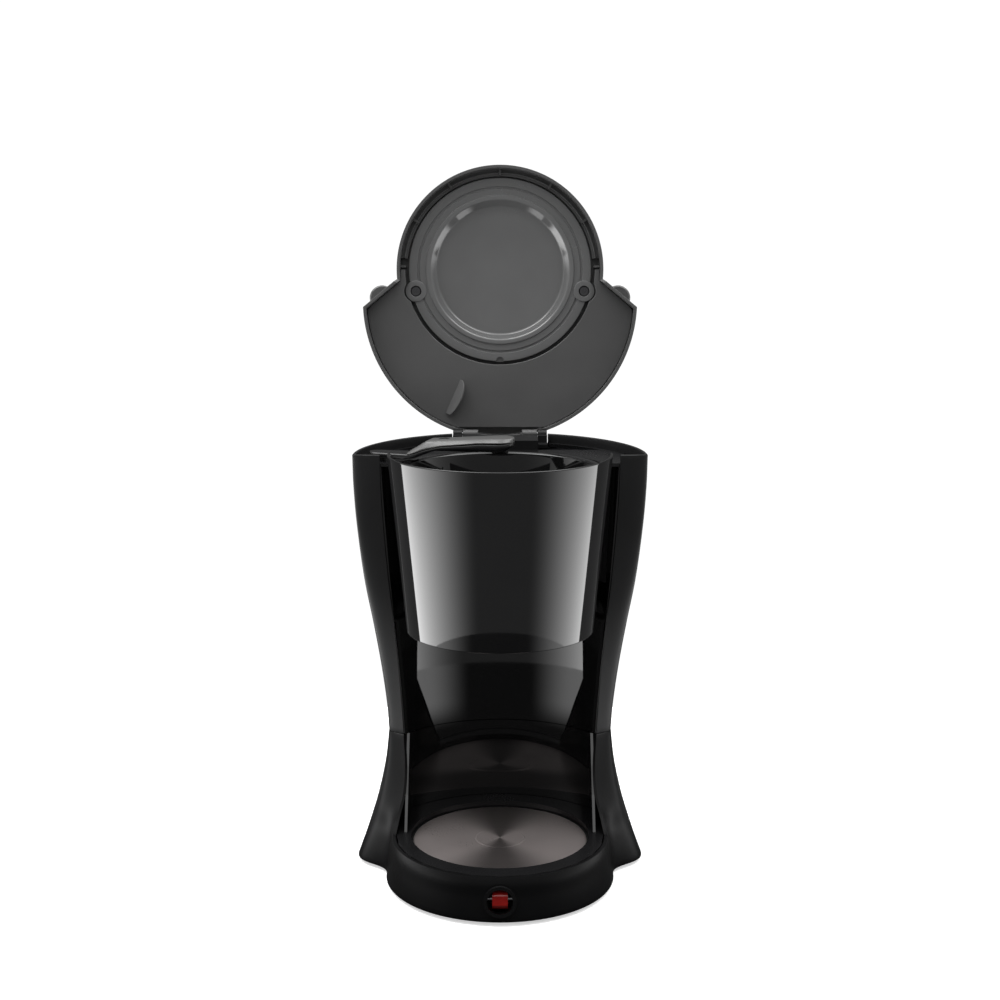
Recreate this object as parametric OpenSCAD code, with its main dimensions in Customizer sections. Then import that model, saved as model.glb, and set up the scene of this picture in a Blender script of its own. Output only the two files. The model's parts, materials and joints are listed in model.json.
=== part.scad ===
// Drip coffee maker, 1.2 litre, shown with its lid open and no jug.
// Origin: on the table, under the axis of the filter basket. +Z is up and -Y is the front.

/* [Body] */
// Height of the filter shell's rim above the table
rim_z = 320; // [318:0.5:322]
// Height of the outer casing's top edge above the table
casing_top_z = 315.5; // [314.5:0.5:316]
// Height of the joint between the casing and the base
joint_z = 96; // [94:0.5:98]
// Distance from the basket's axis to the back of the body
back_y = 134.8; // [134:0.1:136]
// Thickness of the outer casing and of the base's skirt
skin_t = 2.5; // [2:0.1:2.8]

/* [Filter] */
// Outer radius of the filter shell at its rim
shell_top_r = 81.7; // [81.2:0.1:82]
// Outer radius of the filter shell at its bottom edge
shell_bottom_r = 68.8; // [68:0.1:69.5]
// Height of the filter shell's bottom edge above the table
shell_bottom_z = 189.4; // [188:0.2:190]

/* [Lid] */
// Angle that the lid opens through
lid_open_angle = 97; // [92:1:98]
// Height of the closed lid's top above the table
lid_top_z = 337.5; // [337:0.5:340]
// Radius of the lid's round front part
lid_front_r = 82.5; // [82:0.1:83]
// Radius of the lid's wide rear part
lid_rear_r = 109.2; // [108.8:0.1:109.4]

/* [Hotplate] */
// Radius of the keep-warm plate
plate_r = 64.7; // [60:0.1:64.8]
// Height of the plate's top above the table
plate_z = 30; // [29.6:0.1:30.4]
// Distance of the plate's centre in front of the basket's axis
plate_y = 10; // [8:1:11]

/* [Hidden] */
$fn = 96;

gloss = [0.05, 0.05, 0.055];
satin = [0.13, 0.13, 0.135];
lid_grey = [0.30, 0.30, 0.31];
metal = [0.75, 0.75, 0.77];

// Plan of the body at a few heights: height, half width, how far back the widest point lies,
// then the x, y and closing angle of the front strip's inner edge.
column_rows = [
    [joint_z + 0.25, 86, 52, 74, 35, 35],
    [118, 87.2, 47.5, 75.2, 34, 30],
    [150, 90.8, 42, 77.2, 31, 22],
    [185, 96, 35.5, 80.2, 27.5, 14],
    [220, 101.8, 29.5, 83.6, 24.5, 7],
    [262, 106.4, 25, 86.8, 22, 3],
    [292, 108.4, 23.5, 88.3, 20.6, 0],
    [casing_top_z, 108.9, 23, 88.7, 20.1, 0]
];
deck_z = 34.5;
base_bottom_z = 3;
base_rows = [
    [base_bottom_z, 109.3, 26, 85, -14, 90],
    [20, 103, 28.5, 82.5, -14, 90],
    [deck_z, 98.2, 31, 80, -14, 90],
    [44, 95.2, 35, 77.5, -6, 70],
    [57, 91.8, 40, 73.5, 5, 48],
    [75, 88.2, 46, 72.2, 18, 38],
    [joint_z, 86, 52, 74, 35, 35]
];
nose_steps = 5;
back_steps = 20;
front_steps = 12;

// Cubic curve through a, steered by b and c, to d.
function bezier(a, b, c, d, s) =
    a * pow(1 - s, 3) + b * 3 * s * pow(1 - s, 2) + c * 3 * s * s * (1 - s) + d * pow(s, 3);

// Right-hand front strip of one row, from its inner edge to the widest point, inset by t.
function nose(row, t) =
    let (
        outer = [row[1] - t, row[2]],
        edge = [row[3] - t * sin(row[5]), row[4] + t * cos(row[5])],
        reach = 0.7 * cos(row[5]) * (outer.x - edge.x) + 0.5 * sin(row[5]) * (outer.y - edge.y),
        b = outer - [0, 0.55 * max(outer.y - edge.y, 0)],
        c = edge + reach * [cos(row[5]), sin(row[5])]
    )
    [for (i = [nose_steps:-1:0]) bezier(outer, b, c, edge, i / nose_steps)];

// Rear arc of one row, between the widest points and without them.
function rear_arc(row, t) = [
    for (i = [1:back_steps - 1])
        let (a = 180 * i / back_steps)
        [(row[1] - t) * cos(a), row[2] + (back_y - t - row[2]) * sin(a)]
];

function mirrored(points) = [for (i = [len(points) - 1:-1:0]) [-points[i].x, points[i].y]];

// Open plan of one row: the strip, round the back, and the other strip.
function c_path(row, t) = concat(nose(row, t), rear_arc(row, t), mirrored(nose(row, t)));

// Closed plan of one row, with a round front joining the two strips.
function ring_path(row, t) = concat(
    c_path(row, t),
    [for (i = [1:front_steps - 1])
        let (a = 180 + 180 * i / front_steps)
        [(row[3] - t) * cos(a), row[4] + (row[3] - t) * sin(a)]]
);

function quad(a, b, c, d) = [[a, b, c], [a, c, d]];

// Skin of thickness skin_t through the plans of the rows. The first ring_rows rows are closed
// round the front, and the rows above them stay open between the two front strips.
module skin(rows, ring_rows) {
    count = len(rows);
    open_n = len(c_path(rows[0], 0));
    outer_loops = [for (row = rows) ring_rows > 0 ? ring_path(row, 0) : c_path(row, 0)];
    inner_loops = [for (row = rows) ring_rows > 0 ? ring_path(row, skin_t) : c_path(row, skin_t)];
    n = len(outer_loops[0]);
    step_row = max(ring_rows - 1, 0);
    function o(j, k) = j * n + k % n;
    function i(j, k) = (count + j) * n + k % n;
    function top(j, k) = quad(o(j, k + 1), o(j, k), i(j, k), i(j, k + 1));
    polyhedron(
        points = [
            for (j = [0:count - 1], p = outer_loops[j]) [p.x, p.y, rows[j][0]],
            for (j = [0:count - 1], p = inner_loops[j]) [p.x, p.y, rows[j][0]]
        ],
        faces = [
            for (j = [0:count - 2], k = [0:(j < step_row ? n - 1 : open_n - 2)]) each concat(
                quad(o(j, k), o(j + 1, k), o(j + 1, k + 1), o(j, k + 1)),
                quad(i(j, k), i(j, k + 1), i(j + 1, k + 1), i(j + 1, k))
            ),
            for (k = [0:(ring_rows > 0 ? n - 1 : open_n - 2)])
                each quad(o(0, k), o(0, k + 1), i(0, k + 1), i(0, k)),
            for (k = [0:open_n - 2]) each top(count - 1, k),
            if (ring_rows > 0)
                for (k = [open_n - 1:n - 1]) each top(step_row, k),
            for (j = [step_row:count - 2]) each concat(
                quad(o(j + 1, 0), o(j, 0), i(j, 0), i(j + 1, 0)),
                quad(o(j, open_n - 1), o(j + 1, open_n - 1), i(j + 1, open_n - 1), i(j, open_n - 1))
            )
        ]
    );
}

// Flat plate cut to the plan of one row, inset by t.
module row_plate(row, t, z0, z1) {
    translate([0, 0, z0]) linear_extrude(z1 - z0) polygon(ring_path(row, t));
}

// Vertical cylinder between two heights.
module post(r, z0, z1, at = [0, 0]) {
    translate([at.x, at.y, z0]) cylinder(r = r, h = z1 - z0);
}

// Box given by its lowest and highest corners.
module block(low, high) {
    translate(low) cube(high - low);
}

module both_sides() {
    children();
    mirror([1, 0, 0]) children();
}

// ---------------------------------------------------------------- column

hinge_y = 131;
hinge_z = 314.7;
hinge_half_w = 29.5;
notch_half_w = 38;
notch_z = 308;

module rear_casing() {
    color(satin) difference() {
        skin(column_rows, 0);
        block([-notch_half_w, 118, notch_z], [notch_half_w, 140, 320]);
    }
}

// Flat frame inside the casing's foot, which the base is screwed to.
joint_screw_at = [46, 109];
frame_z = joint_z + 1.5;
frame_t = 2.4;
boss_top_z = 111;
module joint_frame() {
    color(gloss) difference() {
        union() {
            intersection() {
                row_plate(column_rows[0], skin_t + 0.3, frame_z, frame_z + frame_t);
                block([-120, 58, 90], [120, 140, 110]);
            }
            both_sides() post(4.2, frame_z, boss_top_z, joint_screw_at);
        }
        post(bay_r + panel_t + 0.4, 90, 120, [0, bay_y]);
        post(7.4, 90, 120, [outlet_x, outlet_y]);
        post(7.4, 90, 120, [riser_low.x, riser_low.y]);
        both_sides() post(1.65, 90, boss_top_z - 2, joint_screw_at);
    }
}

// Wall that faces the filter and the jug. It leaves the front strips free.
panel_t = 2;
panel_bottom_z = joint_z + 0.4;
panel_top_z = 305.8;
bay_roof_z = 188;
bay_r = 91.5;
bay_y = -19.5;
surround = [[82, panel_bottom_z], [83.8, 160], [87.1, 220], [91, panel_top_z]];

module surround_ring(extra) {
    rotate_extrude() polygon(concat(
        [for (p = surround) [p.x + extra, p.y]],
        [[0, panel_top_z], [0, panel_bottom_z]]
    ));
}

// Room behind the front strips, as a side profile pulled across the body.
module behind_strips() {
    gap = 3.4;
    edge = [for (row = column_rows) [row[4] + gap, row[0]]];
    translate([-120, 0, 0]) rotate([90, 0, 90]) linear_extrude(240)
        polygon(concat(edge, [[150, casing_top_z], [150, joint_z + 0.25]]));
}

module window_cut(gap) {
    rotate([0, 0, 23.5 - gap]) rotate_extrude(angle = 9 + 2 * gap)
        polygon([[80, 214 - 8 * gap], [96, 214 - 8 * gap], [96, 300 + 8 * gap], [80, 300 + 8 * gap]]);
}

module inner_panel() {
    color(gloss) difference() {
        intersection() {
            behind_strips();
            union() {
                difference() {
                    surround_ring(panel_t);
                    surround_ring(0);
                    difference() {
                        block([-100, 0, joint_z], [100, 140, bay_roof_z - panel_t]);
                        post(bay_r + panel_t / 2, joint_z - 1, bay_roof_z, [0, bay_y]);
                    }
                }
                intersection() {
                    surround_ring(panel_t / 2);
                    union() {
                        difference() {
                            post(bay_r + panel_t, panel_bottom_z, bay_roof_z, [0, bay_y]);
                            post(bay_r, panel_bottom_z - 1, bay_roof_z + 1, [0, bay_y]);
                        }
                        difference() {
                            post(98, bay_roof_z - panel_t, bay_roof_z);
                            post(bay_r + panel_t / 2, 180, 200, [0, bay_y]);
                        }
                    }
                }
            }
        }
        window_cut(0);
    }
}

module level_window() {
    color([0.45, 0.45, 0.46]) intersection() {
        difference() {
            surround_ring(panel_t - 0.3);
            surround_ring(0.2);
        }
        window_cut(-0.12);
    }
}

// Recessed deck around the filter, with the filling opening behind it.
deck_top_z = 308.5;
deck_t = 2.5;
fill_y = 88.5;
arm_x = -90;
arm_y = 40;
module top_deck() {
    row = column_rows[6];
    color(gloss) difference() {
        intersection() {
            row_plate(row, skin_t + 0.5, deck_top_z - deck_t, deck_top_z);
            block([-120, 25, 300], [120, 140, 320]);
        }
        post(80.4, 300, 320);
        intersection() {
            row_plate(row, skin_t + 5, 300, 320);
            block([-120, fill_y, 300], [120, 140, 320]);
        }
        block([-notch_half_w - 1, 109, 300], [notch_half_w + 1, 140, 320]);
        post(5.4, 300, 320, [arm_x, arm_y]);
    }
}

// Tank that hangs under the deck, wide at the top and narrow behind the jug.
tank_t = 2;
tank_floor_z = 112;
tank_step_z = 196;
module tank_space(t) {
    row_low = column_rows[1];
    row_high = column_rows[3];
    difference() {
        intersection() {
            row_plate(row_high, skin_t + 1 + t, tank_step_z + t, panel_top_z + (t > 0 ? 1 : 0));
            block([-120, 68 + t, 100], [120, 140, 320]);
        }
        post(93.8 + t, 100, 320);
    }
    intersection() {
        row_plate(row_low, skin_t + 1 + t, tank_floor_z + t, tank_step_z + 2 * t);
        block([-120, 95 + t, 100], [120, 140, 320]);
    }
}
heater_r = 44;
heater_end = 50;
outlet_x = heater_r * cos(heater_end);
outlet_y = 106;
module water_tank() {
    color([0.16, 0.16, 0.17]) difference() {
        tank_space(0);
        tank_space(tank_t);
        post(6, 100, 120, [outlet_x, outlet_y]);
    }
}

module tank_outlet_seal() {
    color([0.55, 0.1, 0.08]) difference() {
        union() {
            post(5.9, 108, 116, [outlet_x, outlet_y]);
            post(8, 108, 111.8, [outlet_x, outlet_y]);
        }
        post(4.2, 100, 120, [outlet_x, outlet_y]);
    }
}

// ---------------------------------------------------------------- filter

shell_slope = (shell_top_r - shell_bottom_r) / (rim_z - shell_bottom_z);
function shell_r(z) = shell_bottom_r + shell_slope * (z - shell_bottom_z);

// Cone wall whose outside is the filter shell's outside, inset by gap.
module cone_wall(gap, t, z0, z1) {
    rotate_extrude() polygon([
        [shell_r(z0) - gap - t, z0], [shell_r(z0) - gap, z0],
        [shell_r(z1) - gap, z1], [shell_r(z1) - gap - t, z1]
    ]);
}

shell_t = 2.2;
shell_back_y = 3;
module front_shell() {
    color(gloss) intersection() {
        cone_wall(0, shell_t, shell_bottom_z, rim_z);
        block([-100, -100, 150], [100, shell_back_y, 350]);
    }
}

housing_floor_z = 191;
housing_top_z = 307.5;
housing_gap = shell_t + 0.3;
housing_t = 1.8;
module filter_housing() {
    color(gloss) {
        difference() {
            union() {
                cone_wall(housing_gap, housing_t, housing_floor_z, housing_top_z);
                post(shell_r(housing_floor_z) - housing_gap, housing_floor_z, housing_floor_z + 2);
                intersection() {
                    post(80, housing_top_z - 2, housing_top_z);
                    block([-90, 25.2, 300], [90, 90, 310]);
                }
                intersection() {
                    block([-22, 60, bay_roof_z + 0.3], [22, 92, bay_roof_z + 14]);
                    post(83.8, 180, 220);
                }
            }
            rotate_extrude() polygon([
                [0, housing_floor_z + 2],
                [shell_r(housing_floor_z + 2) - housing_gap - housing_t, housing_floor_z + 2],
                [shell_r(housing_top_z + 1) - housing_gap - housing_t, housing_top_z + 1],
                [0, housing_top_z + 1]
            ]);
            post(15, 180, 200);
        }
    }
}

basket_floor_z = 198;
basket_floor_r = 56;
basket_top_r = 69.6;
basket_rim_r = 74.6;
module filter_basket() {
    wall = 1.6;
    top = 306;
    color(gloss) union() {
        rotate_extrude() polygon([
            [6.1, basket_floor_z], [basket_floor_r, basket_floor_z], [basket_top_r, top - 1.4],
            [basket_rim_r, 308], [basket_rim_r, 310], [basket_rim_r - 1.2, 310],
            [basket_top_r - wall + 0.4, top + 1], [basket_floor_r - wall, basket_floor_z + 2],
            [6.1, basket_floor_z + 2]
        ]);
        for (a = [0:30:330])
            rotate([0, 0, a]) translate([basket_floor_r - 4.5, -0.8, basket_floor_z + 1])
                rotate([0, 7.2, 0]) cube([3.6, 1.6, 92]);
    }
}

stem_r = 5;
module drip_valve() {
    color([0.2, 0.2, 0.21]) union() {
        post(stem_r, 186, 207);
        post(8.5, 201.7, 203.4);
        post(9, 184.4, 186.4);
    }
}

module drip_seal() {
    color([0.5, 0.1, 0.08]) difference() {
        post(8.2, 200.1, 201.7);
        post(stem_r, 199, 203);
    }
}

cage_r = 13;
module valve_cage() {
    color(gloss) difference() {
        post(cage_r, 200, 217);
        post(cage_r - 1.6, 199, 215.4);
        for (a = [0:60:300])
            rotate([0, 0, a]) block([cage_r - 4, -3.5, 201], [cage_r + 2, 3.5, 210]);
        post(3, 214, 218);
    }
}

// Coil made of stacked rings, close enough to a helix to show its size.
spring_r = 7;
wire_r = 0.5;
spring_bottom_z = 203.4;
spring_top_z = 215.4;
module drip_spring() {
    coils = 5;
    pitch = (spring_top_z - spring_bottom_z - 2 * wire_r) / coils;
    color(metal) union() {
        for (i = [0:coils])
            translate([0, 0, spring_bottom_z + wire_r + i * pitch])
                rotate_extrude($fn = 48) translate([spring_r, 0]) circle(r = wire_r, $fn = 16);
        for (i = [0:coils - 1])
            rotate([0, 0, 180 * i]) translate([spring_r, 0, spring_bottom_z + wire_r + i * pitch])
                cylinder(r = wire_r * 0.8, h = pitch, $fn = 16);
    }
}

// ---------------------------------------------------------------- hot water path

riser_low = [-72, 72, 101];
riser_high = [arm_x, arm_y, 298];
riser_r = 3.6;
riser_bore_r = 2.6;
spigot_bore_r = 3;
spigot_r = 4;
spigot_z = 90;
// Draws its children's outline along the riser, for a share of its length.
module along_riser(share) {
    span = riser_high - riser_low;
    run = norm([span.x, span.y]);
    translate(riser_low) rotate([0, atan2(run, span.z), atan2(span.y, span.x)])
        linear_extrude(share * norm(span)) children();
}
module riser_pipe() {
    color([0.7, 0.7, 0.72]) {
        along_riser(1) difference() {
            circle(r = riser_r);
            circle(r = riser_bore_r);
        }
        difference() {
            union() {
                post(spigot_r, spigot_z, riser_low.z - 2, [riser_low.x, riser_low.y]);
                translate(riser_low) block([-5, -5, -3], [5, 5, 4]);
            }
            along_riser(0.1) circle(r = riser_r + 0.05);
            post(spigot_bore_r, spigot_z - 1, riser_low.z + 1, [riser_low.x, riser_low.y]);
        }
    }
}

post_bore_r = 2.4;
post_r = 4;
post_foot_r = 5.2;
post_top_z = 314.4;
arm_low_z = 311;
module arm_post() {
    color(gloss) difference() {
        union() {
            post(post_r, 296, post_top_z, [arm_x, arm_y]);
            post(post_foot_r, 296, arm_low_z - 0.3, [arm_x, arm_y]);
        }
        post(post_bore_r, 290, 320, [arm_x, arm_y]);
        post(riser_r + 0.6, 290, 299, [arm_x, arm_y]);
    }
}

// Swinging outlet arm: a hub on the post, a low root, a ramp and a broad spoon-shaped end.
arm_length = 93.4;
arm_angle = -15.5;
arm_hub_r = 7.5;
arm_root_z = 315.6;
arm_spoon_r = 10.7;
module arm_frame() {
    translate([arm_x, arm_y, 0]) rotate([0, 0, arm_angle]) children();
}
module arm_plan(inset) {
    hull_root = arm_hub_r - inset;
    spoon = arm_spoon_r - inset;
    circle(r = hull_root);
    translate([arm_length, 0]) circle(r = spoon);
    polygon([
        [0, -hull_root], [arm_length * 0.4, -spoon + 1.2], [arm_length, -spoon],
        [arm_length, spoon], [arm_length * 0.4, spoon - 1.2], [0, hull_root]
    ]);
}
module arm_side(profile) {
    translate([0, 20, 0]) rotate([90, 0, 0]) linear_extrude(40) polygon(profile);
}
// Water channel inside the arm, from the post to the nozzle.
channel_half_w = 1.4;
channel = [
    [0, 312], [25, 312.3], [31, 315], [43, 320.7], [arm_length, 322.4],
    [arm_length, 324.4], [41.5, 321.9], [31, 316.7], [24, 314.1], [0, 314]
];
module outlet_arm() {
    color(gloss) arm_frame() difference() {
        union() {
            intersection() {
                translate([0, 0, 310]) linear_extrude(30) arm_plan(0);
                arm_side([
                    [-20, arm_low_z], [22, arm_low_z], [30, 312.5], [44, 319.5], [120, 321.5],
                    [120, 327], [80, 326.5], [39, 322.6], [27, arm_root_z], [-20, arm_root_z]
                ]);
            }
            post(6.2, 317.8, 323, [arm_length, 0]);
            for (x = [64, 76])
                block([x, -5, 318.4], [x + 2, 5, 323]);
        }
        post(post_r + 0.05, 300, post_top_z + 0.1);
        post(4.4, 316, 323, [arm_length, 0]);
        translate([0, channel_half_w, 0]) rotate([90, 0, 0]) linear_extrude(2 * channel_half_w) polygon(channel);
    }
}
module arm_cover() {
    color([0.42, 0.42, 0.43]) arm_frame() difference() {
        intersection() {
            translate([0, 0, 310]) linear_extrude(30) arm_plan(0);
            arm_side([
                [27, arm_root_z], [39, 322.6], [80, 326.5], [120, 327], [120, 329.4],
                [92, 329.4], [39, 325.6], [25.6, 317.4], [24, arm_root_z]
            ]);
        }
        translate([50, 3, 327.4]) cylinder(r = 4.4, h = 6);
    }
}

// ---------------------------------------------------------------- lid hinge

block_front_y = 86;
block_top_z = 316;
block_back_y = 114;
bracket_low_z = 306.2;
bracket_high_z = 309.2;
pin_r = 1.6;
pin_ear_x = 30.1;
pin_outer_x = 37.4;
ear_back_y = 131.4;
module hinge_bracket() {
    color(satin) difference() {
        union() {
            block([-hinge_half_w, block_front_y, deck_top_z], [hinge_half_w, block_back_y, block_top_z]);
            intersection() {
                row_plate(column_rows[6], skin_t + 0.4, bracket_low_z, bracket_high_z);
                block([-notch_half_w + 0.5, block_back_y - 4, 300], [notch_half_w - 0.5, 140, 320]);
            }
            both_sides() block([pin_ear_x, 120, notch_z + 0.3], [pin_outer_x, ear_back_y, hinge_z]);
            both_sides() intersection() {
                translate([pin_ear_x, hinge_y, hinge_z]) rotate([0, 90, 0])
                    cylinder(r = 3.4, h = pin_outer_x - pin_ear_x);
                block([0, 100, notch_z + 0.3], [60, 134, 330]);
            }
        }
        translate([-60, hinge_y, hinge_z]) rotate([0, 90, 0]) cylinder(r = pin_r, h = 120);
        block([-hinge_half_w + 2, block_front_y + 2, 300], [hinge_half_w - 2, block_back_y - 4, block_top_z - 2]);
    }
}
module hinge_pins() {
    color(metal) both_sides() translate([19.5, hinge_y, hinge_z]) rotate([0, 90, 0])
        cylinder(r = pin_r, h = pin_outer_x - 19.5);
}

// ---------------------------------------------------------------- lid

body_y = 25.7;
lid_skirt_z = 316;
lid_front_skirt_z = 320.6;
lid_wall = 2.5;
lid_ceiling_z = lid_top_z - 2.5;
shoulder_inner = [83.4, 8.8];
shoulder_outer = [108.4, 29.6];

// Moves what is drawn for the closed lid to where the open lid stands.
module lid_opened() {
    translate([0, hinge_y, hinge_z]) rotate([-lid_open_angle, 0, 0])
        translate([0, -hinge_y, -hinge_z]) children();
}

module lid_plan(inset) {
    slope = [shoulder_outer.x - shoulder_inner.x, shoulder_outer.y - shoulder_inner.y];
    side = inset * [-slope.y, slope.x] / norm(slope);
    a = shoulder_inner + side - 20 * slope / norm(slope);
    b = shoulder_outer + side + 6 * slope / norm(slope);
    circle(r = lid_front_r - inset);
    intersection() {
        translate([0, body_y]) circle(r = lid_rear_r - inset);
        polygon([a, b, [130, 160], [-130, 160], [-b.x, b.y], [-a.x, a.y]]);
    }
}

ear_at = [95, 22];
ear_r = 10;
module lid_shell() {
    color(lid_grey) lid_opened() difference() {
        union() {
            difference() {
                translate([0, 0, lid_skirt_z]) linear_extrude(lid_top_z - lid_skirt_z) lid_plan(0);
                translate([0, 0, lid_skirt_z - 1]) linear_extrude(lid_ceiling_z - lid_skirt_z + 1)
                    lid_plan(lid_wall);
                block([-120, -120, 300], [120, 9, lid_front_skirt_z]);
            }
            both_sides() post(ear_r, lid_top_z - 5, lid_top_z, ear_at);
            for (a = [-88, -60, -31, 0, 31, 60, 88])
                rotate([0, 0, a - 90]) block([75.2, -0.8, 327], [81, 0.8, lid_ceiling_z + 1]);
            both_sides() post(5.4, lug_top_z + 0.1, lid_ceiling_z + 1, shield_screw);
            lid_barrel();
        }
        both_sides() translate([pin_ear_x - 0.6, hinge_y, hinge_z]) rotate([0, 90, 0])
            cylinder(r = 4.4, h = pin_outer_x - pin_ear_x + 1.3);
        translate([-60, hinge_y, hinge_z]) rotate([0, 90, 0]) cylinder(r = pin_r + 0.05, h = 120);
        both_sides() post(1.5, 325, lid_ceiling_z + 1.6, shield_screw);
    }
}
// Two knuckles round the pins and the web that joins them to the lid.
module lid_barrel() {
    both_sides() translate([17.5, hinge_y, hinge_z]) rotate([0, 90, 0])
        cylinder(r = 3.2, h = hinge_half_w - 17.5);
    both_sides() block([17.5, hinge_y - 3.2, hinge_z], [hinge_half_w, hinge_y + 1, lid_skirt_z + 4]);
}

// Thin underside panel of the lid's wide part.
plate_face_z = 324;
module lid_plate() {
    color(lid_grey) lid_opened() difference() {
        intersection() {
            translate([0, 0, plate_face_z]) linear_extrude(1.6) lid_plan(lid_wall + 0.4);
            block([-120, 0, 300], [120, 126, 340]);
        }
        post(75.8, 300, 340);
        both_sides() post(lug_r + 0.6, 300, 340, shield_screw);
    }
    color(lid_grey) lid_opened() lid_fin();
}
fin_from = [-31, 88];
fin_to = [-43, 115];
fin_t = 1.4;
module lid_fin() {
    reach = fin_to - fin_from;
    translate([fin_from.x, fin_from.y, plate_face_z]) rotate([0, 0, atan2(reach.y, reach.x)])
        rotate([-18, 0, 0]) translate([0, fin_t / 2, 0]) rotate([90, 0, 0]) linear_extrude(fin_t)
            polygon(concat(
                [for (a = [0:15:75]) [norm(reach) * (1 - cos(a)), -11 * sin(a)]],
                [[norm(reach) * 0.97, -10], [norm(reach), 0.6], [0, 0.6]]
            ));
}

// Round plate over the basket, with a recess that clears the arm.
shield_r = 73.5;
shield_z = 329.5;
shield_recess_r = 53.3;
shield_crest_r = 59;
shield_screw = [67.5, 17];
lug_r = 8.6;
lug_top_z = 333.2;
module steam_shield() {
    color([0.24, 0.24, 0.25]) lid_opened() difference() {
        union() {
            rotate_extrude() polygon([
                [0, 333.2], [shield_recess_r, 333.2], [shield_recess_r + 1.2, shield_z - 1.2],
                [shield_crest_r, shield_z - 1.2], [shield_crest_r + 0.8, shield_z], [shield_r - 2, shield_z],
                [shield_r, shield_z + 1.2], [shield_r, 334], [shield_r - 1.5, 334],
                [shield_r - 1.5, shield_z + 1.5], [shield_recess_r + 3, shield_z + 1.5],
                [shield_recess_r + 1.2, 334.7], [0, 334.7]
            ]);
            both_sides() post(lug_r, shield_z - 0.7, lug_top_z, shield_screw);
        }
        both_sides() {
            post(4.3, 320, shield_z + 2, shield_screw);
            post(1.55, 320, 340, shield_screw);
            post(lug_r + 1, lug_top_z, 340, shield_screw);
        }
        post(3, 320, 331, [0, shield_r - 1]);
    }
}
module lid_screws() {
    color(metal) lid_opened() both_sides() {
        post(1.45, shield_z + 1, lid_ceiling_z + 1, shield_screw);
        post(4.1, shield_z, shield_z + 2, shield_screw);
    }
}

// ---------------------------------------------------------------- base

plate_at = [0, -plate_y];
switch_z = 19;
front_y = base_rows[0][4] - base_rows[0][3];
module base_skirt() {
    color(satin) difference() {
        skin(base_rows, 3);
        translate([0, front_y - 6, switch_z]) rotate([-90, 0, 0]) cylinder(r = 10.6, h = 20);
        translate([gland_x, 112, gland_z]) rotate([-90, 0, 0]) cylinder(r = gland_outer_r + 0.05, h = 30);
    }
}

collar_r = 66.4;
collar_z = 26.3;
liner_z = deck_z - 0.3;
screw_head_z = 88;
module base_deck() {
    color(gloss) difference() {
        union() {
            intersection() {
                row_plate(base_rows[2], skin_t + 0.6, deck_z - 2.2, liner_z);
                block([-120, -120, 0], [120, 128, 50]);
            }
            post(collar_r + 1.8, collar_z, liner_z, plate_at);
            each_foot() post(4.2, foot_boss_z + 0.1, liner_z - 1);
        }
        post(collar_r, 20, 40, plate_at);
        block([-40, 76, 20], [40, 116, 40]);
        post(6.2, 20, 40, [riser_low.x, riser_low.y]);
        each_foot() post(1.3, 5, 22);
        both_sides() post(deck_post_r + 0.05, 20, 40, joint_screw_at);
    }
}

// Two posts pressed into the deck, which the joint's screws go up through.
deck_post_r = 4.6;
module deck_posts() {
    color(gloss) both_sides() difference() {
        union() {
            post(deck_post_r, deck_z - 2, frame_z - 0.1, joint_screw_at);
            post(deck_post_r + 1.4, liner_z, liner_z + 2, joint_screw_at);
        }
        post(3.4, 20, screw_head_z, joint_screw_at);
        post(1.7, 20, frame_z + 1, joint_screw_at);
    }
}

// Lower half of the wall behind the jug, with a cheek behind each strip of the base.
liner_t = 2;
cheek_x = 69.5;
module bay_liner_plan(t) {
    intersection() {
        translate([0, bay_y]) circle(r = bay_r + t);
        translate([-cheek_x - t, -40]) square([2 * (cheek_x + t), 160]);
    }
}
module bay_liner() {
    color(gloss) intersection() {
        difference() {
            translate([0, 0, deck_z]) linear_extrude(joint_z - deck_z - 0.2) bay_liner_plan(liner_t);
            translate([0, 0, deck_z - 1]) linear_extrude(joint_z) bay_liner_plan(0);
        }
        translate([-120, 0, 0]) rotate([90, 0, 90]) linear_extrude(240) polygon(concat(
            [for (i = [2:len(base_rows) - 1]) [base_rows[i][4] + 4.2, base_rows[i][0]]],
            [[120, joint_z], [120, deck_z]]
        ));
    }
}

feet_at = [[60, 94], [60, -52]];
pads_at = [[82, 66], [50, -66]];
foot_boss_z = 7;
module each_foot() {
    for (p = feet_at)
        both_sides() translate([p.x, p.y, 0]) children();
}
module base_plate() {
    color(satin) difference() {
        union() {
            row_plate(base_rows[0], skin_t + 1.4, base_bottom_z, base_bottom_z + 2);
            each_foot() post(5.4, base_bottom_z, foot_boss_z);
        }
        each_foot() {
            post(3.5, 0, base_bottom_z + 2);
            post(1.5, 0, 20);
        }
        for (p = pads_at)
            both_sides() post(3, 0, 10, p);
        for (x = [-24:8:24])
            block([x - 1.5, 88, 0], [x + 1.5, 112, 10]);
    }
}
module rubber_feet() {
    color([0.09, 0.09, 0.09])
        for (p = pads_at)
            both_sides() {
                post(7, 0, base_bottom_z, p);
                post(2.9, base_bottom_z - 0.5, base_bottom_z + 2, p);
            }
}
module base_screws() {
    color(metal) each_foot() {
        post(3.2, base_bottom_z + 0.3, base_bottom_z + 2);
        post(1.25, base_bottom_z + 1, 20);
    }
}

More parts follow.
